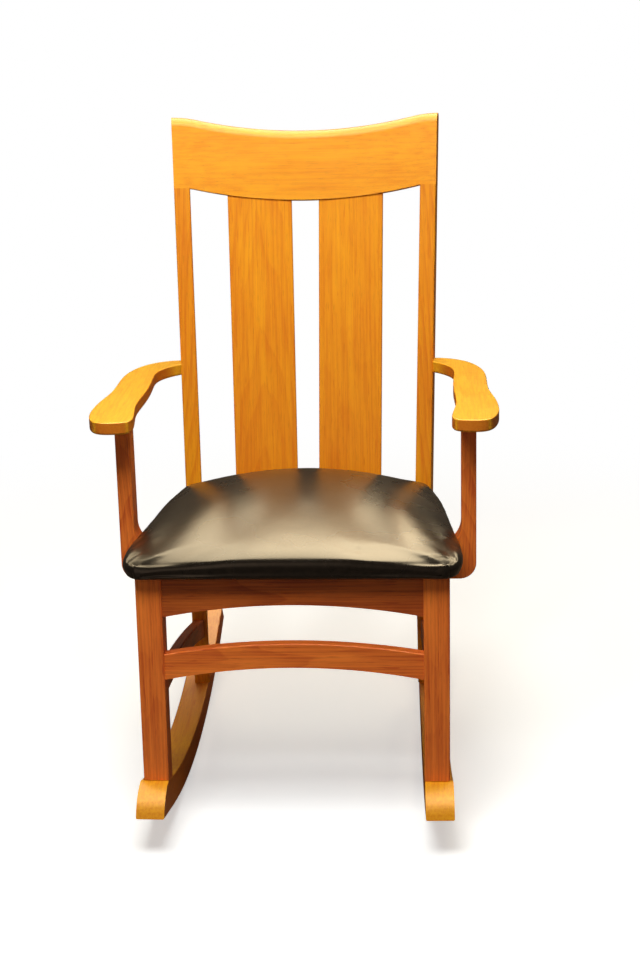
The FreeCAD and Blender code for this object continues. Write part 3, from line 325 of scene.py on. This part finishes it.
def hickory(name, centre, along, face, tint, ring, depth, slope, strength, look=BOARD_LOOK):
    """The lacquered hickory of one board."""
    material, tree, shader = new_material("hickory " + name)
    cut = add_node(tree, "ShaderNodeGroup", {}, node_tree=figure)
    place, facing = grain_mapping(tree, centre, along, face)
    tree.links.new(place, cut.inputs["Vector"])
    tree.links.new(facing, cut.inputs["Facing"])
    for label, value in (("Light", tint[0]), ("Dark", tint[1]), ("Ring Width", ring),
                         ("Log Depth", depth), ("Log Slope", slope), ("Ring Strength", strength),
                         ("Side Shade Strength", look[0]), ("End Strength", look[1]),
                         ("End Shade Strength", look[2])):
        cut.inputs[label].default_value = value
    bump = add_node(tree, "ShaderNodeBump", {
        "Height": cut.outputs["Height"], "Strength": 0.25, "Distance": 0.0004})
    tree.links.new(cut.outputs["Color"], shader.inputs["Base Color"])
    tree.links.new(cut.outputs["Roughness"], shader.inputs["Roughness"])
    tree.links.new(bump.outputs[0], shader.inputs["Normal"])
    for label, value in LACQUER.items():
        shader.inputs[label].default_value = value
    return material


def dress(node, material):
    """One material on the whole of a node."""
    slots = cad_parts[node].data.materials
    slots.clear()
    slots.append(material)


UP = (0, 0, 1)
BACK_SLOPE = (0, 0.285, 0.958)
BACK_FACE = (0, -0.958, 0.285)
LEG_LINE = (0, 0.137, 0.99)
LEG_FACE = (0, -0.99, 0.137)
BOARDS = {
    "crest_rail": ((1, 0, 0), BACK_FACE, HONEY, 0.0045, 0.40, 0.010, 0.10),
    "right_back_slat": (BACK_SLOPE, BACK_FACE, AMBER, 0.0048, 0.60, 0.004, 0.12),
    "left_back_slat": (BACK_SLOPE, BACK_FACE, AMBER, 0.0085, 0.07, 0.045, 0.26),
    "right_back_post": (BACK_SLOPE, (1, -0.4, 0.1), AMBER, 0.009, 0.05, 0.06, 0.4),
    "left_back_post": (BACK_SLOPE, (-1, -0.4, 0.1), AMBER, 0.008, 0.06, 0.05, 0.4),
    "right_arm": ((0, 1, 0), UP, LIT_GOLD, 0.006, 0.20, 0.010, 0.12),
    "left_arm": ((0, 1, 0), UP, LIT_GOLD, 0.006, 0.16, -0.012, 0.12),
    "right_arm_support": ((0.05, 0.1, 1), (0, -1, 0.1), SHADED_RUSSET, 0.005, 0.12, 0.03, 0.35),
    "left_arm_support": ((-0.05, 0.1, 1), (0, -1, 0.1), SHADED_RUSSET, 0.006, 0.14, 0.03, 0.35),
    "right_front_leg": (LEG_LINE, LEG_FACE, SHADED_RUSSET, 0.007, 0.30, 0.01, 0.16),
    "left_front_leg": (LEG_LINE, LEG_FACE, SHADED_RUSSET, 0.008, 0.12, 0.03, 0.16),
    "front_rail": ((1, 0, 0), LEG_FACE, SHADE_UMBER, 0.006, 0.16, 0.010, 0.35),
    "front_stretcher": ((1, 0, 0), LEG_FACE, SHADED_RUSSET, 0.006, 0.20, 0.012, 0.35),
    "rear_rail": ((1, 0, 0), BACK_FACE, SHADED_RUSSET, 0.007, 0.10, 0.03, 0.2),
    "right_side_rail": ((0, 1, -0.08), (1, 0, 0), SHADE_UMBER, 0.006, 0.09, 0.02, 0.3),
    "left_side_rail": ((0, 1, -0.08), (-1, 0, 0), SHADE_UMBER, 0.006, 0.12, 0.02, 0.3),
    "right_side_stretcher": ((0, 1, -0.15), (1, 0, 0), SHADE_UMBER, 0.006, 0.09, 0.02, 0.3),
    "left_side_stretcher": ((0, 1, -0.15), (-1, 0, 0), SHADE_UMBER, 0.006, 0.07, 0.02, 0.3),
    "right_rocker": ((0, -1, 0), UP, OCHRE, 0.006, 0.16, 0.02, 0.16),
    "left_rocker": ((0, -1, 0), UP, OCHRE, 0.007, 0.12, 0.02, 0.16),
}


def look_of(node):
    """The look of a board's edges and ends, by what kind of board it is."""
    return next((look for ending, look in LOOKS.items() if node.endswith(ending)), BOARD_LOOK)


for node, (along, face, tint, ring, depth, slope, strength) in BOARDS.items():
    dress(node, hickory(node.replace("_", " "), middle_of(node), along, face, tint,
                        ring, depth, slope, strength, look_of(node)))
print(len(BOARDS), "boards have their grain")

# %% [markdown]
# ## Bare wood, plywood and screws
# The corner blocks and dowels are the same hickory without lacquer. The seat board is plywood:
# its edge shows thin veneers that lie crosswise. The screws are zinc plated steel, with the
# straight scratches of handling and a duller, cloudy tone.

# %% Hidden woods and steel
VENEER = 0.0048
BARE = ((0.70, 0.50, 0.30, 1), (0.52, 0.34, 0.18, 1))
BLOCK_NODES = ("right_front_corner_block", "left_front_corner_block",
               "right_rear_corner_block", "left_rear_corner_block")
for node in BLOCK_NODES + ("rocker_dowels", "arm_dowels"):
    grain = UP if "dowels" in node else (1, 0.6, 0)
    bare = hickory("bare " + node.replace("_", " "), middle_of(node), grain, (0, 0.1, 1), BARE,
                   0.005, 0.06, 0.05, 0.5)
    shader = next(n for n in bare.node_tree.nodes if n.type == "BSDF_PRINCIPLED")
    shader.inputs["Coat Weight"].default_value = 0.0
    tree = bare.node_tree
    for link in list(shader.inputs["Roughness"].links):
        tree.links.remove(link)
    shader.inputs["Roughness"].default_value = 0.75
    dress(node, bare)

plywood, tree, shader = new_material("seat board plywood")
seat_up = lean_back.to_3x3() @ Vector(UP)
sheet_space = grain_mapping(tree, middle_of("seat_board"), (1, 0, 0), seat_up)[0]
layers = add_node(tree, "ShaderNodeSeparateXYZ", {0: sheet_space})
veneer = sums(tree, "FRACT", sums(tree, "DIVIDE", layers.outputs["Z"], VENEER))
cross = spread(tree, veneer, 0.46, 0.54)
streak = noise_value(tree, stretched(tree, sheet_space, (3, 60, 60)), 1.0, 4.0)
face_tone = blended(tree, streak, (0.72, 0.53, 0.33, 1), (0.58, 0.40, 0.22, 1))
ply_tone = blended(tree, sums(tree, "MULTIPLY", cross, 0.6), face_tone, (0.38, 0.25, 0.13, 1))
tree.links.new(ply_tone, shader.inputs["Base Color"])
shader.inputs["Roughness"].default_value = 0.7
dress("seat_board", plywood)

steel, tree, shader = new_material("zinc plated steel")
space = object_space(tree)
cloud = noise_value(tree, space, 180.0, 3.0)
scratch = noise_value(tree, stretched(tree, space, (900, 900, 60)), 1.0)
tree.links.new(blended(tree, cloud, (0.60, 0.60, 0.57, 1), (0.48, 0.47, 0.42, 1)),
               shader.inputs["Base Color"])
tree.links.new(spread(tree, scratch, 0.3, 0.7, 0.28, 0.5), shader.inputs["Roughness"])
shader.inputs["Metallic"].default_value = 1.0
for node in ("arm_screws", "support_screws", "seat_screws"):
    dress(node, steel)

foam, tree, shader = new_material("seat foam")
space = object_space(tree)
cells = add_node(tree, "ShaderNodeTexVoronoi", {"Vector": space, "Scale": 700.0}).outputs[0]
tree.links.new(blended(tree, cells, (0.62, 0.54, 0.34, 1), (0.86, 0.80, 0.60, 1)),
               shader.inputs["Base Color"])
shader.inputs["Roughness"].default_value = 0.95
dress("seat_foam", foam)

# %% [markdown]
# ## Leather and dust cloth
# The seat is black upholstery leather with a soft gloss. Its surface has small pebbles of about a
# millimetre, broken by finer creases, and the gloss varies where people sit. The dust cloth is a
# thin black woven cloth.

# %% Leather and cloth materials
PEBBLES, CREASES, THREADS = 620.0, 150.0, 420.0
leather, tree, shader = new_material("black leather")
space = object_space(tree)
pebble = add_node(tree, "ShaderNodeTexVoronoi", {"Vector": space, "Scale": PEBBLES},
                  feature="SMOOTH_F1").outputs[0]
crease = noise_value(tree, space, CREASES, 4.0, 0.6)
sitting = noise_value(tree, space, 7.0, 3.0)
surface = sums(tree, "MULTIPLY_ADD", crease, 0.6, pebble)
bump = add_node(tree, "ShaderNodeBump", {"Height": surface, "Strength": 0.14, "Distance": 0.0003})
tree.links.new(blended(tree, spread(tree, crease, 0.35, 0.7), (0.004, 0.003, 0.0022, 1),
                       (0.010, 0.007, 0.005, 1)), shader.inputs["Base Color"])
tree.links.new(spread(tree, sitting, 0.3, 0.7, 0.25, 0.32), shader.inputs["Roughness"])
tree.links.new(bump.outputs[0], shader.inputs["Normal"])
shader.inputs["Specular IOR Level"].default_value = 0.6
shader.inputs["Coat Weight"].default_value = 0.25
shader.inputs["Coat Roughness"].default_value = 0.24
dress("seat_cover", leather)

dust_cloth, tree, shader = new_material("black dust cloth")
space = object_space(tree)
warp = add_node(tree, "ShaderNodeTexWave", {"Vector": space, "Scale": THREADS},
                bands_direction="X").outputs[1]
weft = add_node(tree, "ShaderNodeTexWave", {"Vector": space, "Scale": THREADS},
                bands_direction="Y").outputs[1]
weave = sums(tree, "MULTIPLY", warp, weft)
lint = noise_value(tree, space, 90.0, 4.0)
bump = add_node(tree, "ShaderNodeBump", {"Height": weave, "Strength": 0.4, "Distance": 0.0003})
tree.links.new(blended(tree, sums(tree, "MULTIPLY", weave, lint), (0.012, 0.012, 0.013, 1),
                       (0.05, 0.05, 0.052, 1)), shader.inputs["Base Color"])
shader.inputs["Roughness"].default_value = 0.95
tree.links.new(bump.outputs[0], shader.inputs["Normal"])
dress("dust_cover", dust_cloth)

# %% [markdown]
# ## The leather seat
# On the real chair, leather is pulled down over a block of foam on the seat board and stapled
# underneath. So the top is crowned and tight, the sides swell, and the corners are folded. The
# form starts as a copy of the foam and its board, made one skin by a voxel remesh, and is blown up
# a little by a cloth simulation with pressure, with its underside held. The movement is capped, so
# the seat stays where it was designed.

# %% Make one skin of the foam and the board
VOXEL = 6 * MM
HELD_HEIGHT = 5 * MM
PRESSURE = 4.0
SWELL_CAP = 3 * MM
SWELL_STEPS = 20


def merged_copy(name, nodes):
    """A new object from copies of CAD nodes, with their loose triangles merged."""
    form = bmesh.new()
    for node in nodes:
        form.from_mesh(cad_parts[node].data)
    bmesh.ops.remove_doubles(form, verts=form.verts, dist=0.01 * MM)
    mesh = bpy.data.meshes.new(name)
    form.to_mesh(mesh)
    form.free()
    obj = bpy.data.objects.new(name, mesh)
    bpy.context.scene.collection.objects.link(obj)
    return obj


def settle(obj):
    """Applies the object's modifiers to its mesh."""
    bpy.context.view_layer.update()
    shown = obj.evaluated_get(bpy.context.evaluated_depsgraph_get())
    mesh = bpy.data.meshes.new_from_object(shown)
    old = obj.data
    obj.modifiers.clear()
    obj.data = mesh
    bpy.data.meshes.remove(old)
    mesh.name = obj.name


seat = merged_copy("leather_seat", ["seat_foam", "seat_board"])
skin = seat.modifiers.new("one skin", "REMESH")
skin.mode = "VOXEL"
skin.voxel_size = VOXEL
settle(seat)
print("seat skin", len(seat.data.vertices), "points")

# %% [markdown]
# The cloth simulation runs from the skin as it is. The points near the underside can't move, and
# every other point ends at most 3 mm from where it began.

# %% Blow it up with its underside held
seat_floor = min(seat_up.dot(v.co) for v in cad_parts["seat_cover"].data.vertices)
held = seat.vertex_groups.new(name="held")
held.add([v.index for v in seat.data.vertices
          if seat_up.dot(v.co) - seat_floor < HELD_HEIGHT], 1.0, "REPLACE")
start = [v.co.copy() for v in seat.data.vertices]
cloth = seat.modifiers.new("stuffing", "CLOTH")
cloth.settings.quality = 6
cloth.settings.mass = 0.4
cloth.settings.tension_stiffness = 25
cloth.settings.compression_stiffness = 25
cloth.settings.shear_stiffness = 12
cloth.settings.bending_stiffness = 4
cloth.settings.use_pressure = True
cloth.settings.uniform_pressure_force = PRESSURE
cloth.settings.effector_weights.gravity = 0
cloth.settings.vertex_group_mass = "held"
cloth.point_cache.frame_start = 1
cloth.point_cache.frame_end = SWELL_STEPS
for step in range(1, SWELL_STEPS + 1):
    bpy.context.scene.frame_set(step)
settle(seat)
bpy.context.scene.frame_set(1)
furthest = 0
for vert, was in zip(seat.data.vertices, start):
    move = vert.co - was
    furthest = max(furthest, move.length)
    if move.length > SWELL_CAP:
        vert.co = was + move * (SWELL_CAP / move.length)
print("the stuffing moved the leather by up to", round(furthest / MM, 1), "mm")

# %% [markdown]
# ## The seat's surface
# One subdivision smooths the skin.

# %% Smooth the skin
finer = seat.modifiers.new("finer", "SUBSURF")
finer.levels = finer.render_levels = 1
settle(seat)
seat_box = [[pick(v.co[axis] for v in seat.data.vertices) for axis in range(3)]
            for pick in (min, max)]
print("seat box", [[round(c, 4) for c in corner] for corner in seat_box])

# %% [markdown]
# The leather is pulled down hardest at the two front corners, so the seat rounds down towards them.
# It is gathered into one pleat at each of these corners, which runs from the top edge down over the
# corner. Where people sit down it also has a small dimple, and the pull of the staples leaves
# shallow waves. The mesh is made finer near the pleats and the dimple first.

# %% Add the pleats, the dimple and the waves
PLEAT_DEPTH = 0.7 * MM
PLEAT_WIDTH = 1.8 * MM
DIMPLE_DEPTH = 0.5 * MM
DIMPLE_WIDTH = 4 * MM
DIMPLE_STRETCH = 1.8
WAVE_HEIGHT = 0.35 * MM
WAVE_SCALE = (22, 7, 7)
CORNER_DROP = 6 * MM
CORNER_REACHES = (100 * MM, 32 * MM)
CORNER_FALL = 1.5
CORNER_FROM = 0.35
PLEAT_START = 12 * MM
EDGE_FROM, EDGE_TURN = 0.80, 0.35
half_seat = (seat_box[1][0] - seat_box[0][0]) / 2
front_edge = seat_box[0][1]
pleats = [(Vector((side * (half_seat - 30 * MM), front_edge + 20 * MM, 0)),
           Vector((side * 0.50, -0.866, 0)), side) for side in (-1, 1)]
dimple = Vector((0.108, front_edge + 34 * MM, 0))


def held_in(value):
    """A value held between 0 and 1."""
    return min(1, max(0, value))


def flat(point):
    """The point without its height."""
    return Vector((point.x, point.y, 0))


def near_detail(point):
    """Whether a point lies near a pleat or the dimple."""
    if (flat(point) - dimple).length < DIMPLE_WIDTH * 3:
        return True
    return any((flat(point) - foot).dot(way) > -5 * MM
               and abs((flat(point) - foot).cross(way).z) < PLEAT_WIDTH * 4
               for foot, way, side in pleats)


def smooth_dress(obj, material):
    """One material and smooth shading on the whole of a new piece."""
    obj.data.materials.clear()
    obj.data.materials.append(material)
    for face in obj.data.polygons:
        face.use_smooth = True


form = bmesh.new()
form.from_mesh(seat.data)
edges = [e for e in form.edges if near_detail(e.verts[0].co) and near_detail(e.verts[1].co)]
bmesh.ops.subdivide_edges(form, edges=edges, cuts=2, use_grid_fill=True)
form.normal_update()
moves = []
for vert in form.verts:
    place = vert.co
    wave = noise.noise(Vector([c * s for c, s in zip(place, WAVE_SCALE)])) * WAVE_HEIGHT
    to_front = sum(held_in(1 - (place.y - front_edge) / reach) ** CORNER_FALL
                   for reach in CORNER_REACHES)
    to_side = held_in((abs(place.x) / half_seat - CORNER_FROM) / (1 - CORNER_FROM))
    over_edge = held_in((EDGE_FROM - vert.normal.z) / EDGE_TURN)
    push = wave - CORNER_DROP * to_front * to_side * max(0, vert.normal.z)
    off = flat(place) - dimple
    if vert.normal.z > 0.5:
        push -= DIMPLE_DEPTH * math.exp(-((off.x / DIMPLE_WIDTH) ** 2
                                          + (off.y / DIMPLE_WIDTH / DIMPLE_STRETCH) ** 2))
    for foot, way, side in pleats:
        ahead_of = (flat(place) - foot).dot(way)
        aside = (flat(place) - foot).cross(way).z * side
        grow = held_in(ahead_of / PLEAT_START) * over_edge
        push -= PLEAT_DEPTH * grow * math.exp(-(aside / PLEAT_WIDTH) ** 2)
        beside = (aside - 2 * PLEAT_WIDTH) / PLEAT_WIDTH
        push += PLEAT_DEPTH * 0.5 * grow * math.exp(-beside ** 2)
    moves.append(vert.normal * push)
for vert, move in zip(form.verts, moves):
    vert.co += move
form.to_mesh(seat.data)
form.free()
smooth_dress(seat, leather)
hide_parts("seat_cover", "seat_foam")
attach(seat, "root")
print("seat has", len(seat.data.polygons), "faces")

# %% [markdown]
# ## The dust cloth
# A thin cloth closes the seat's underside between the corner blocks. It is cut to size and sags a
# little in the middle; on the real chair it is also turned in at its edges and stapled.

# %% Stretch the dust cloth
CLOTH_THICKNESS = 0.8 * MM
CLOTH_SAG = 3 * MM
CLOTH_CUTS = 23
low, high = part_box("dust_cover")
outline = bmesh.new()
corners = {}
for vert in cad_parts["dust_cover"].data.vertices:
    side = (vert.co.x > 0, vert.co.y > (low.y + high.y) / 2)
    reach = abs(vert.co.x) + abs(vert.co.y)
    if side not in corners or reach > corners[side][0] + 0.01 * MM:
        corners[side] = (reach, vert.co.copy())
cloth_low = min(seat_up.dot(v.co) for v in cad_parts["dust_cover"].data.vertices)
rim = [corners[side][1] for side in ((False, False), (True, False), (True, True), (False, True))]
rim = [p + seat_up * (cloth_low - seat_up.dot(p) + CLOTH_THICKNESS) for p in rim]
face = outline.faces.new([outline.verts.new(p) for p in rim])
face.normal_update()
if face.normal.z > 0:
    face.normal_flip()
cloth_width = (rim[1] - rim[0]).length
cloth_length = ((rim[3] + rim[2]) / 2 - (rim[0] + rim[1]) / 2).length
bmesh.ops.subdivide_edges(outline, edges=outline.edges, cuts=CLOTH_CUTS, use_grid_fill=True)
middle = sum(rim, Vector()) / len(rim)
for vert in outline.verts:
    if not vert.is_boundary:
        across = held_in(2 * abs(vert.co.x - middle.x) / cloth_width)
        along = held_in(2 * abs(vert.co.y - middle.y) / cloth_length)
        vert.co -= seat_up * CLOTH_SAG * (1 - across ** 2) * (1 - along ** 2)
cloth_mesh = bpy.data.meshes.new("dust_cloth")
outline.to_mesh(cloth_mesh)
outline.free()
dust = bpy.data.objects.new("dust_cloth", cloth_mesh)
bpy.context.scene.collection.objects.link(dust)
wall = dust.modifiers.new("thickness", "SOLIDIFY")
wall.thickness = CLOTH_THICKNESS
wall.offset = -1
settle(dust)
smooth_dress(dust, dust_cloth)
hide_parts("dust_cover")
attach(dust, "root")
print("dust cloth", round(cloth_width, 3), "by", round(cloth_length, 3), "m")

# %% [markdown]
# ## The studio
# The chair stands on a plain white floor. The floor keeps its shadow near the chair and turns to
# plain white further out, for camera, glossy and transmission rays alone, so that no light on the
# object comes from it. Reflected, the white is dim and warm, and the floor near the chair is dark.

# %% Floor
FLOOR_RADIUS = 60.0
FLOOR_LIFT = 0.5
ROOM_TONE = (1, 0.74, 0.52, 1)
MIRRORED = 0.07
WHITE = (1, 1, 1, 1)


def seeing_rays(tree):
    """The Light Path outputs, and 1 for a camera, glossy or transmission ray."""
    rays = add_node(tree, "ShaderNodeLightPath").outputs
    bounced = sums(tree, "MAXIMUM", rays["Is Glossy Ray"], rays["Is Transmission Ray"])
    return rays, sums(tree, "MAXIMUM", rays["Is Camera Ray"], bounced)


ground = bmesh.new()
bmesh.ops.create_circle(ground, cap_ends=True, segments=96, radius=FLOOR_RADIUS)
floor_mesh = bpy.data.meshes.new("studio_floor")
ground.to_mesh(floor_mesh)
ground.free()
floor = bpy.data.objects.new("studio_floor", floor_mesh)
bpy.context.scene.collection.objects.link(floor)
paint = bpy.data.materials.new("studio floor")
paint.use_nodes = True
tree = paint.node_tree
tree.nodes.clear()
rays, seen = seeing_rays(tree)
out_from = add_node(tree, "ShaderNodeVectorMath", {0: object_space(tree)}, operation="LENGTH")
far = spread(tree, out_from.outputs["Value"], 0.5, 1.8)
unseen = blended(tree, rays["Is Glossy Ray"], (0.34, 0.33, 0.31, 1), (0.14, 0.11, 0.08, 1))
near_white = add_node(tree, "ShaderNodeBsdfDiffuse", {
    "Color": blended(tree, rays["Is Camera Ray"], unseen, (0.86, 0.92, 0.98, 1))})
plain_white = add_node(tree, "ShaderNodeEmission", {
    "Color": blended(tree, rays["Is Camera Ray"], ROOM_TONE, WHITE),
    "Strength": sums(tree, "MAXIMUM", rays["Is Camera Ray"], MIRRORED)})
lift = add_node(tree, "ShaderNodeEmission", {
    "Color": WHITE, "Strength": sums(tree, "MULTIPLY", rays["Is Camera Ray"], FLOOR_LIFT)})
lifted = add_node(tree, "ShaderNodeAddShader", {0: near_white.outputs[0], 1: lift.outputs[0]})
mixed = add_node(tree, "ShaderNodeMixShader", {
    0: sums(tree, "MULTIPLY", seen, far), 1: lifted.outputs[0], 2: plain_white.outputs[0]})
add_node(tree, "ShaderNodeOutputMaterial", {"Surface": mixed.outputs[0]})
floor.data.materials.append(paint)

# %% [markdown]
# A lamp high in front lights the faces towards the camera without showing in their gloss, one high
# behind lights the top faces, and a weak warm one fills in from the front. The lit ceiling shows as
# sheen. The wood mirrors one wide warm panel. The leather mirrors four strips instead, dimmer on
# the left than on the right, which run back over the chair and spread apart further behind it.

# %% World and lamps
AMBIENT = 0.10
CEILING = 2.60
SHEEN_TONE = (1.0, 0.79, 0.48)
world = bpy.data.worlds.new("studio")
bpy.context.scene.world = world
world.use_nodes = True
tree = world.node_tree
tree.nodes.clear()
rays, seen = seeing_rays(tree)
sky = add_node(tree, "ShaderNodeSeparateXYZ", {
    0: add_node(tree, "ShaderNodeTexCoord").outputs["Generated"]})
wall_white = spread(tree, sky.outputs["Z"], 0.0, 0.10, MIRRORED, AMBIENT)
shine = sums(tree, "MAXIMUM", sums(tree, "MULTIPLY", seen, wall_white), AMBIENT)
level = sums(tree, "MAXIMUM", rays["Is Camera Ray"], shine)
room_tone = blended(tree, rays["Is Camera Ray"], ROOM_TONE, WHITE)
back = add_node(tree, "ShaderNodeBackground", {"Color": room_tone, "Strength": level})
add_node(tree, "ShaderNodeOutputWorld", {"Surface": back.outputs[0]})


def soft_lamp(name, place, aim, size, brightness, tone, diffuse=True, glossy=True):
    """A rectangular lamp. Brightness is the radiance of its face. It may light matt surfaces, show
    in glossy ones, or both."""
    lamp = bpy.data.lights.new(name, "AREA")
    lamp.shape = "RECTANGLE"
    lamp.size, lamp.size_y = size
    lamp.energy = brightness * math.pi * size[0] * size[1]
    lamp.color = tone
    obj = bpy.data.objects.new(name, lamp)
    bpy.context.scene.collection.objects.link(obj)
    obj.location = place
    obj.rotation_euler = (Vector(aim) - Vector(place)).to_track_quat("-Z", "Y").to_euler()
    obj.visible_diffuse = diffuse
    obj.visible_glossy = glossy
    return obj


def ceiling_strip(name, start, end, width, brightness):
    """A level strip of sheen between two points, given as seen from above."""
    start, end = Vector((*start, CEILING)), Vector((*end, CEILING))
    middle = (start + end) / 2
    strip = soft_lamp(name, middle, middle - Vector(UP), (width, (end - start).length), brightness,
                      SHEEN_TONE, diffuse=False)
    strip.rotation_euler = (0, 0, math.atan2(start.x - end.x, end.y - start.y))
    return strip


def link_lamp(lamp, piece, state):
    """Makes a lamp light that piece alone, or all but that piece."""
    linked = bpy.data.collections.new(lamp.name + " pieces")
    linked.objects.link(piece)
    linked.collection_objects[0].light_linking.link_state = state
    lamp.light_linking.receiver_collection = linked


wood_sheen = soft_lamp("wood_sheen_panel", (0.20, 0.35, CEILING), (0.20, 0.35, 0.0), (3.6, 3.7),
                       8.0, SHEEN_TONE, diffuse=False)
link_lamp(wood_sheen, seat, "EXCLUDE")
for name, start, end, width, brightness in (
        ("left_near", (-1.125, 0.3), (-1.125, 2.5), 1.55, 5.4),
        ("right_near", (0.775, 0.3), (0.775, 2.5), 2.25, 8.6),
        ("left_far", (-0.97, 2.40), (-1.95, 4.60), 1.0, 4.4),
        ("right_far", (0.75, 2.45), (1.60, 4.90), 1.0, 9.0)):
    leather_sheen = ceiling_strip(name + "_leather_sheen_panel", start, end, width, brightness)
    link_lamp(leather_sheen, seat, "INCLUDE")
soft_lamp("rear_overhead_lamp", (0.15, 1.10, 2.35), (0.0, 0.0, 0.5), (2.0, 1.9), 2.0,
          (1.0, 0.86, 0.62))
soft_lamp("front_overhead_lamp", (-0.15, -1.00, 2.25), (0.0, 0.2, 0.8), (1.0, 0.8), 14.0,
          (1.0, 0.97, 0.90), glossy=False)
soft_lamp("front_fill", (-0.9, -3.2, 1.6), (0.0, 0.0, 0.4), (1.6, 1.6), 0.5, (1.0, 0.72, 0.50))
bpy.context.scene.view_settings.view_transform = "Standard"
print("lamps:", len(bpy.data.lights))
